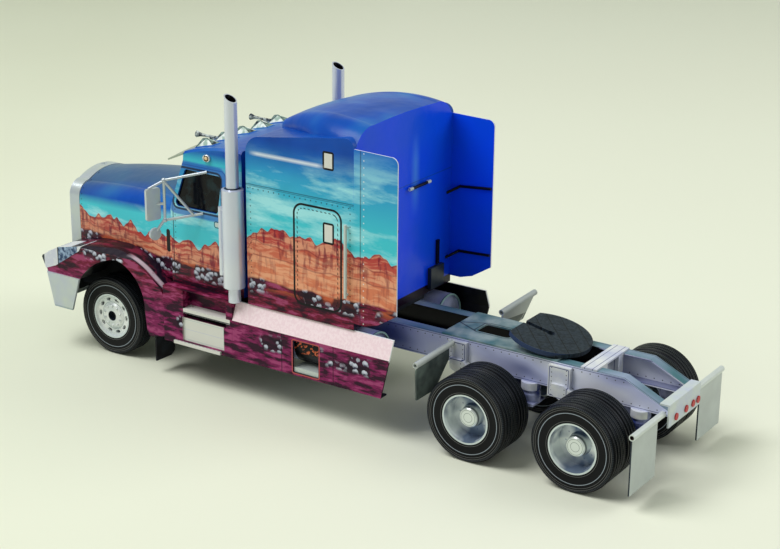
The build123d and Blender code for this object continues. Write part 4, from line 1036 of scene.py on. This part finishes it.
class TRUCK_OT_add_trim(CardOperator):
    """Adds the small lamps, the front wheels' nuts and black sheets of painted shade inside the arches and
    behind the bumper.
    """

    bl_idname = "truck.add_trim"
    bl_label = "Add the trim"

    def make(self, context):
        self.add_side_lamps()
        self.add_fog_lamps()
        self.add_nuts()
        self.add_shade_sheets()

    def add_side_lamps(self):
        """A chrome cup on each side of the cab roof with a lens in it."""
        paint = Paint("side lamp")
        aft, height = SIDE_LAMP
        radius = distance(paint.aft - aft, paint.z - height)
        lens = paint.blend(radius.above(0.9, 0.2), (0.80, 0.62, 0.36), (0.12, 0.06, 0.03))
        base = paint.blend(radius.above(1.55, 0.1), lens, (0.70, 0.76, 0.76))
        material = paint.use(base, 0.2, metallic=radius.above(1.55, 0.1) * 0.6)
        profile = (
            (-0.3, 0.0), (-0.3, 2.3), (0.8, 2.3), (1.1, 2.1), (1.1, 1.8), (0.6, 1.6), (1.0, 1.0), (1.2, 0.0),
        )
        for side, sign in SIDES:
            centre = (sign * CAB_SIDE, FRONT_AXLE + aft, height)
            made = turned(f"side_lamp_{side}", centre, (sign, 0, 0), profile, flat=0.8)
            finish_piece(made, "chassis", material)

    def add_fog_lamps(self):
        """Domed lenses set in the bumper's outer openings."""
        paint = Paint("fog lamp")
        flutes = paint.x.repeated(1.0, 0.4, 0.3)
        material = paint.use(paint.blend(flutes, (0.66, 0.70, 0.70), (0.34, 0.38, 0.40)), 0.12)
        profile = ((-0.4, 0.0), (-0.4, 4.3), (0.0, 4.3), (0.5, 3.4), (0.8, 1.8), (0.9, 0.0))
        x, aft, height = FOG_LAMP
        for side, sign in SIDES:
            centre = (sign * x, FRONT_AXLE + aft, height)
            made = turned(f"fog_lamp_{side}", centre, (0, -1, 0), profile, flat=0.54)
            finish_piece(made, "chassis", material)

    def add_nuts(self):
        """Domed nuts round each front hub."""
        paint = Paint("nut")
        base = paint.mottled(2.0, 1, (0.88, 0.90, 0.88), (0.50, 0.56, 0.58))
        material = paint.use(base, 0.25, metallic=0.3)
        turn = np.linspace(0, 2 * np.pi, NUTS, endpoint=False)
        aft = FRONT_AXLE + NUT_CIRCLE * np.sin(turn)
        height = AXLE_HEIGHT + NUT_CIRCLE * np.cos(turn)
        profile = ((-0.2, 0.0), (-0.2, 0.75), (0.25, 0.7), (0.5, 0.4), (0.55, 0.0))
        for side, sign in SIDES:
            centres = np.stack((np.full(NUTS, sign * NUT_SEAT), aft, height), axis=1)
            made = turned(f"nuts_{side}", centres, (sign, 0, 0), profile, steps=12)
            finish_piece(made, f"front_wheel_{side}", material)

    def add_shade_sheets(self):
        """Black sheets of painted shade: a wall inside each front arch, cut up over the axle, and a strip
        behind the bumper's openings.
        """
        paint = Paint("inner black card")
        base = paint.mottled(6, 0.4, "black", "slate")
        material = paint.use(base, 0.6, sheen=0.1)
        run = np.linspace(-32.0, 36.0, 69)
        low = 30.0 + 6.0 * np.exp(-((run / 15.0) ** 6))
        for side, sign in SIDES:
            made = slab(
                f"arch_wall_{side}", run, low, np.full(69, 49.5),
                lambda along, offset, height: (sign * 23.8 + offset, FRONT_AXLE + along, height), 0.5,
            )
            finish_piece(made, "chassis", material, smooth=False)
        run = np.linspace(-24.0, 24.0, 9)
        made = slab(
            "bumper_backing", run, np.full(9, 25.0), np.full(9, 33.5),
            lambda along, offset, height: (along, FRONT_AXLE - 35.6 + offset, height), 0.5,
        )
        finish_piece(made, "chassis", material, smooth=False)


class TRUCK_OT_set_stage(CardOperator):
    """Makes the paper floor and backdrop, the soft lamps, the room light and the camera."""

    bl_idname = "truck.set_stage"
    bl_label = "Set the stage"

    def make(self, context):
        stage = context.scene.stage_settings
        self.make_floor(context, stage)
        self.make_lamps(context, stage)
        self.make_room(context, stage)
        self.make_camera(context, stage)

    def make_floor(self, context, stage):
        """A flat floor, a quarter turn far behind the model, and a straight wall."""
        azimuth = stage.azimuth
        forward = np.array((-math.sin(azimuth), math.cos(azimuth), 0.0))
        sideways = np.array((forward[1], -forward[0], 0.0))
        turn = np.linspace(0, np.pi / 2, 24)
        start, bend, wall = 1500.0, 700.0, 2600.0
        run = np.concatenate(([-3000.0], start + bend * np.sin(turn), [start + bend]))
        rise = np.concatenate(([0.0], bend * (1 - np.cos(turn)), [wall]))
        across = np.linspace(-4000.0, 4000.0, 9)
        points = (
            run[:, None, None] * forward
            + across[None, :, None] * sideways
            + rise[:, None, None] * np.array((0.0, 0.0, 1.0))
        )
        floor = surface("studio_paper", points)
        floor.data.polygons.foreach_set("use_smooth", [True] * len(floor.data.polygons))
        paint = Paint("studio paper")
        height = Field(paint, paint.node("ShaderNodeSeparateXYZ", {}, {0: paint.place}).outputs[2])
        far = height.above(0.05, 1.2)
        mottled = paint.grain(500, detail=2.0) * 0.25
        # Painted shade: the floor turns darker and yellower toward the left of the view.
        left = (paint.x * (-sideways[0]) - (paint.aft + FRONT_AXLE) * sideways[1]).above(130, 320)
        floor_shaded_left = paint.blend(left * 0.75, stage.floor, (0.50, 0.49, 0.30))
        base = paint.blend(far + mottled, floor_shaded_left, stage.backdrop)
        floor.data.materials.append(paint.use(base, 0.7))

    def make_lamps(self, context, stage):
        camera = self.camera_axes(stage)
        lamps = (  # name, toward the right, up, toward the camera, size, power, all distances in metres
            ("key_lamp", -0.9, 1.5, 0.15, 1.0, stage.key_power),
            ("fill_lamp", 1.5, 1.0, -0.1, 1.2, stage.fill_power),
        )
        for name, right, up, back, size, power in lamps:
            data = bpy.data.lights.new(name, "AREA")
            data.size = size
            data.energy = power * 3.0
            lamp = bpy.data.objects.new(name, data)
            flat_back = Vector((camera[2].x, camera[2].y, 0)).normalized()
            place = camera[0] * right + Vector((0, 0, up)) + flat_back * back
            lamp.location = place
            lamp.rotation_euler = (Vector((0, 0, 0.06)) - place).to_track_quat("-Z", "Y").to_euler()
            context.scene.collection.objects.link(lamp)

    def make_room(self, context, stage):
        world = bpy.data.worlds.new("room")
        context.scene.world = world
        world.use_nodes = True
        shade = world.node_tree.nodes["Background"]
        shade.inputs[0].default_value = (0.95, 1.0, 0.97, 1.0)
        shade.inputs[1].default_value = stage.world_strength

    def camera_axes(self, stage):
        """Right, up and backward directions of the camera, from its azimuth, elevation and roll."""
        azimuth, elevation, roll = stage.azimuth, stage.elevation, stage.roll
        level = math.cos(elevation)
        back = Vector((math.sin(azimuth) * level, -math.cos(azimuth) * level, math.sin(elevation)))
        right = (-back).cross(Vector((0, 0, 1))).normalized()
        up = right.cross(-back)
        return (
            math.cos(roll) * right + math.sin(roll) * up,
            -math.sin(roll) * right + math.cos(roll) * up,
            back,
        )

    def make_camera(self, context, stage):
        right, up, back = self.camera_axes(stage)
        data = bpy.data.cameras.new("photo_camera")
        data.sensor_width = 36.0
        data.lens = stage.focal_pixels / PHOTO_WIDTH * data.sensor_width
        data.clip_end = 50
        camera = bpy.data.objects.new("photo_camera", data)
        turn = Matrix((right, up, back)).transposed().to_4x4()
        camera.matrix_world = Matrix.Translation(Vector(CAMERA_PLACE)) @ turn
        context.scene.collection.objects.link(camera)
        context.scene.camera = camera
        context.scene.view_settings.view_transform = "Standard"


OPERATORS = (
    TRUCK_OT_print_sleeper,
    TRUCK_OT_print_cab,
    TRUCK_OT_print_nose,
    TRUCK_OT_print_sides,
    TRUCK_OT_print_chassis,
    TRUCK_OT_print_brightwork,
    TRUCK_OT_print_wheels,
    TRUCK_OT_add_trim,
    TRUCK_OT_set_stage,
)


class TRUCK_PT_panel(bpy.types.Panel):
    """Lists the operators and the colours."""

    bl_idname = "TRUCK_PT_panel"
    bl_label = "Card truck"
    bl_space_type = "VIEW_3D"
    bl_region_type = "UI"
    bl_category = "Card truck"

    def draw(self, context):
        for operator in OPERATORS:
            self.layout.operator(operator.bl_idname)
        for group, settings in GROUPS.items():
            for name in settings.__annotations__:
                self.layout.prop(getattr(context.scene, group), name)


GROUPS = {"card_colours": CardColours, "card_sizes": CardSizes, "stage_settings": StageSettings}


def register():
    for name, group in GROUPS.items():
        bpy.utils.register_class(group)
        setattr(bpy.types.Scene, name, bpy.props.PointerProperty(type=group))
    for made in (*OPERATORS, TRUCK_PT_panel):
        bpy.utils.register_class(made)


def unregister():
    for made in (TRUCK_PT_panel, *reversed(OPERATORS)):
        bpy.utils.unregister_class(made)
    for name, group in GROUPS.items():
        delattr(bpy.types.Scene, name)
        bpy.utils.unregister_class(group)


def main():
    register()
    for operator in OPERATORS:
        group, name = operator.bl_idname.split(".")
        getattr(getattr(bpy.ops, group), name)()


if __name__ == "__main__":
    main()
